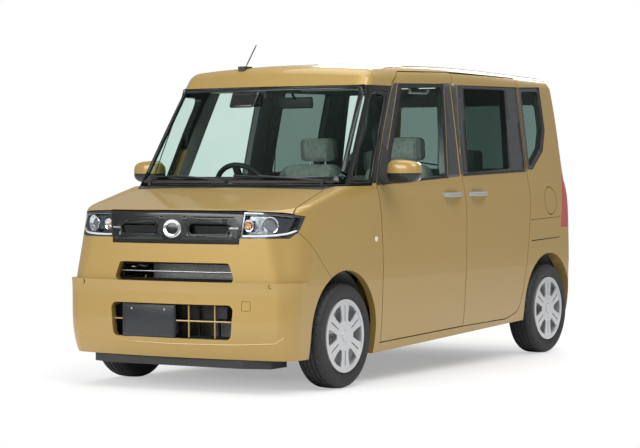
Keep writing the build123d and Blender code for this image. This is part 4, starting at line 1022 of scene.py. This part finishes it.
for k in range(11):
    t = 0.18 + 0.07 * k
    turned(f"antenna_turn_{k}", [(0, 1.5), (4.2, 1.0), (4.2, -1.0), (0, -1.5)],
           ANTENNA_FOOT + ANTENNA_WAY.normalized() * ANTENNA_LENGTH * t, ANTENNA_WAY,
           trim_black, "body", count=14)

# Stage, lamps and camera: the camera is fitted to the photograph, whose frame is 640 wide
PHOTO_WIDTH = 640.0
FOCAL_PIXELS = 2182.95
CAMERA_PLACE = (6.5745, -10.9428, 1.1895)
CAMERA_ANGLES = (31.439, 1.627, -0.291)
WORLD_LIGHT = 0.42
FLOOR_HALF_WIDTH = 30
# each lamp: name, place, target, width, height, power, share in reflections
LAMPS = (
    ("key", (5.0, -3.5, 6.5), (0, 0, 0.6), 6.0, 4.0, 420, 1.0),
    ("nose", (-3.0, -8.0, 3.2), (0, -1.5, 0.7), 5.0, 2.5, 330, 1.0),
    ("top", (0.0, 0.5, 7.0), (0, 0.3, 0.5), 6.0, 6.0, 300, 0.1),
    ("rear", (-2.0, 7.5, 4.0), (0, 1.5, 0.8), 5.0, 3.0, 240, 1.0),
)


def camera():
    azimuth, elevation, roll = (math.radians(v) for v in CAMERA_ANGLES)
    back = Vector((math.sin(azimuth) * math.cos(elevation),
                   -math.cos(azimuth) * math.cos(elevation),
                   math.sin(elevation)))
    across = Vector((0, 0, 1)).cross(back).normalized()
    up = back.cross(across)
    right = across * math.cos(roll) + up * math.sin(roll)
    top = up * math.cos(roll) - across * math.sin(roll)
    data = bpy.data.cameras.new("camera")
    data.sensor_width = 36.0
    data.lens = FOCAL_PIXELS * data.sensor_width / PHOTO_WIDTH
    data.clip_end = 100.0
    obj = put("camera", data)
    obj.matrix_world = Matrix.Translation(CAMERA_PLACE) @ \
        Matrix((right, top, back)).transposed().to_4x4()
    bpy.context.scene.camera = obj


def area_lamp(name, place, target, width, height, power, shine):
    data = bpy.data.lights.new(name, "AREA")
    data.shape = "RECTANGLE"
    data.size, data.size_y = width, height
    data.energy = power
    data.specular_factor = shine
    obj = put(name, data)
    obj.location = place
    obj.rotation_euler = (Vector(target) - Vector(place)).to_track_quat("-Z", "Y").to_euler()


def white_to_camera(tree):
    """1 for what the camera sees, also through glass."""
    path = tree.nodes.new("ShaderNodeLightPath")
    return maths(tree, "MAXIMUM", path.outputs["Is Camera Ray"],
                 path.outputs["Is Transmission Ray"])


def stage():
    world = bpy.data.worlds.new("studio")
    bpy.context.scene.world = world
    world.use_nodes = True
    tree = world.node_tree
    sky = tree.nodes["Background"]
    mix = tree.nodes.new("ShaderNodeMapRange")
    mix.inputs["To Min"].default_value = WORLD_LIGHT
    mix.inputs["To Max"].default_value = 1.0
    tree.links.new(white_to_camera(tree), mix.inputs["Value"])
    sky.inputs["Color"].default_value = (1, 1, 1, 1)
    tree.links.new(mix.outputs["Result"], sky.inputs["Strength"])

    ground, tree, shader = new_material("pale_floor")
    tree.links.new(blend_colours(tree, ramp(tree, noise(tree, 3.0), 0, 1), (0.86, 0.86, 0.87),
                                 (0.88, 0.88, 0.885)), shader.inputs["Base Color"])
    shader.inputs["Roughness"].default_value = 0.7
    # away from the car the floor fades to the white of the background
    place = tree.nodes.new("ShaderNodeTexCoord")
    far = tree.nodes.new("ShaderNodeVectorMath")
    far.operation = "LENGTH"
    tree.links.new(place.outputs["Object"], far.inputs[0])
    fade = ramp(tree, far.outputs["Value"], 0.35, 1.0, 0.8, 3.4)
    much = maths(tree, "MULTIPLY", fade, white_to_camera(tree))
    white = tree.nodes.new("ShaderNodeEmission")
    white.inputs["Color"].default_value = (1, 1, 1, 1)
    mix = tree.nodes.new("ShaderNodeMixShader")
    tree.links.new(much, mix.inputs[0])
    tree.links.new(shader.outputs["BSDF"], mix.inputs[1])
    tree.links.new(white.outputs["Emission"], mix.inputs[2])
    tree.links.new(mix.outputs["Shader"], tree.nodes["Material Output"].inputs["Surface"])
    bm = bmesh.new()
    bmesh.ops.create_grid(bm, x_segments=8, y_segments=8, size=FLOOR_HALF_WIDTH)
    mesh = bpy.data.meshes.new("floor")
    bm.to_mesh(mesh)
    bm.free()
    floor = put("floor", mesh)
    floor.location.z = -0.0005
    floor.data.materials.append(ground)

    for lamp in LAMPS:
        area_lamp(*lamp)
    bpy.context.scene.view_settings.view_transform = "Standard"


stage()
camera()
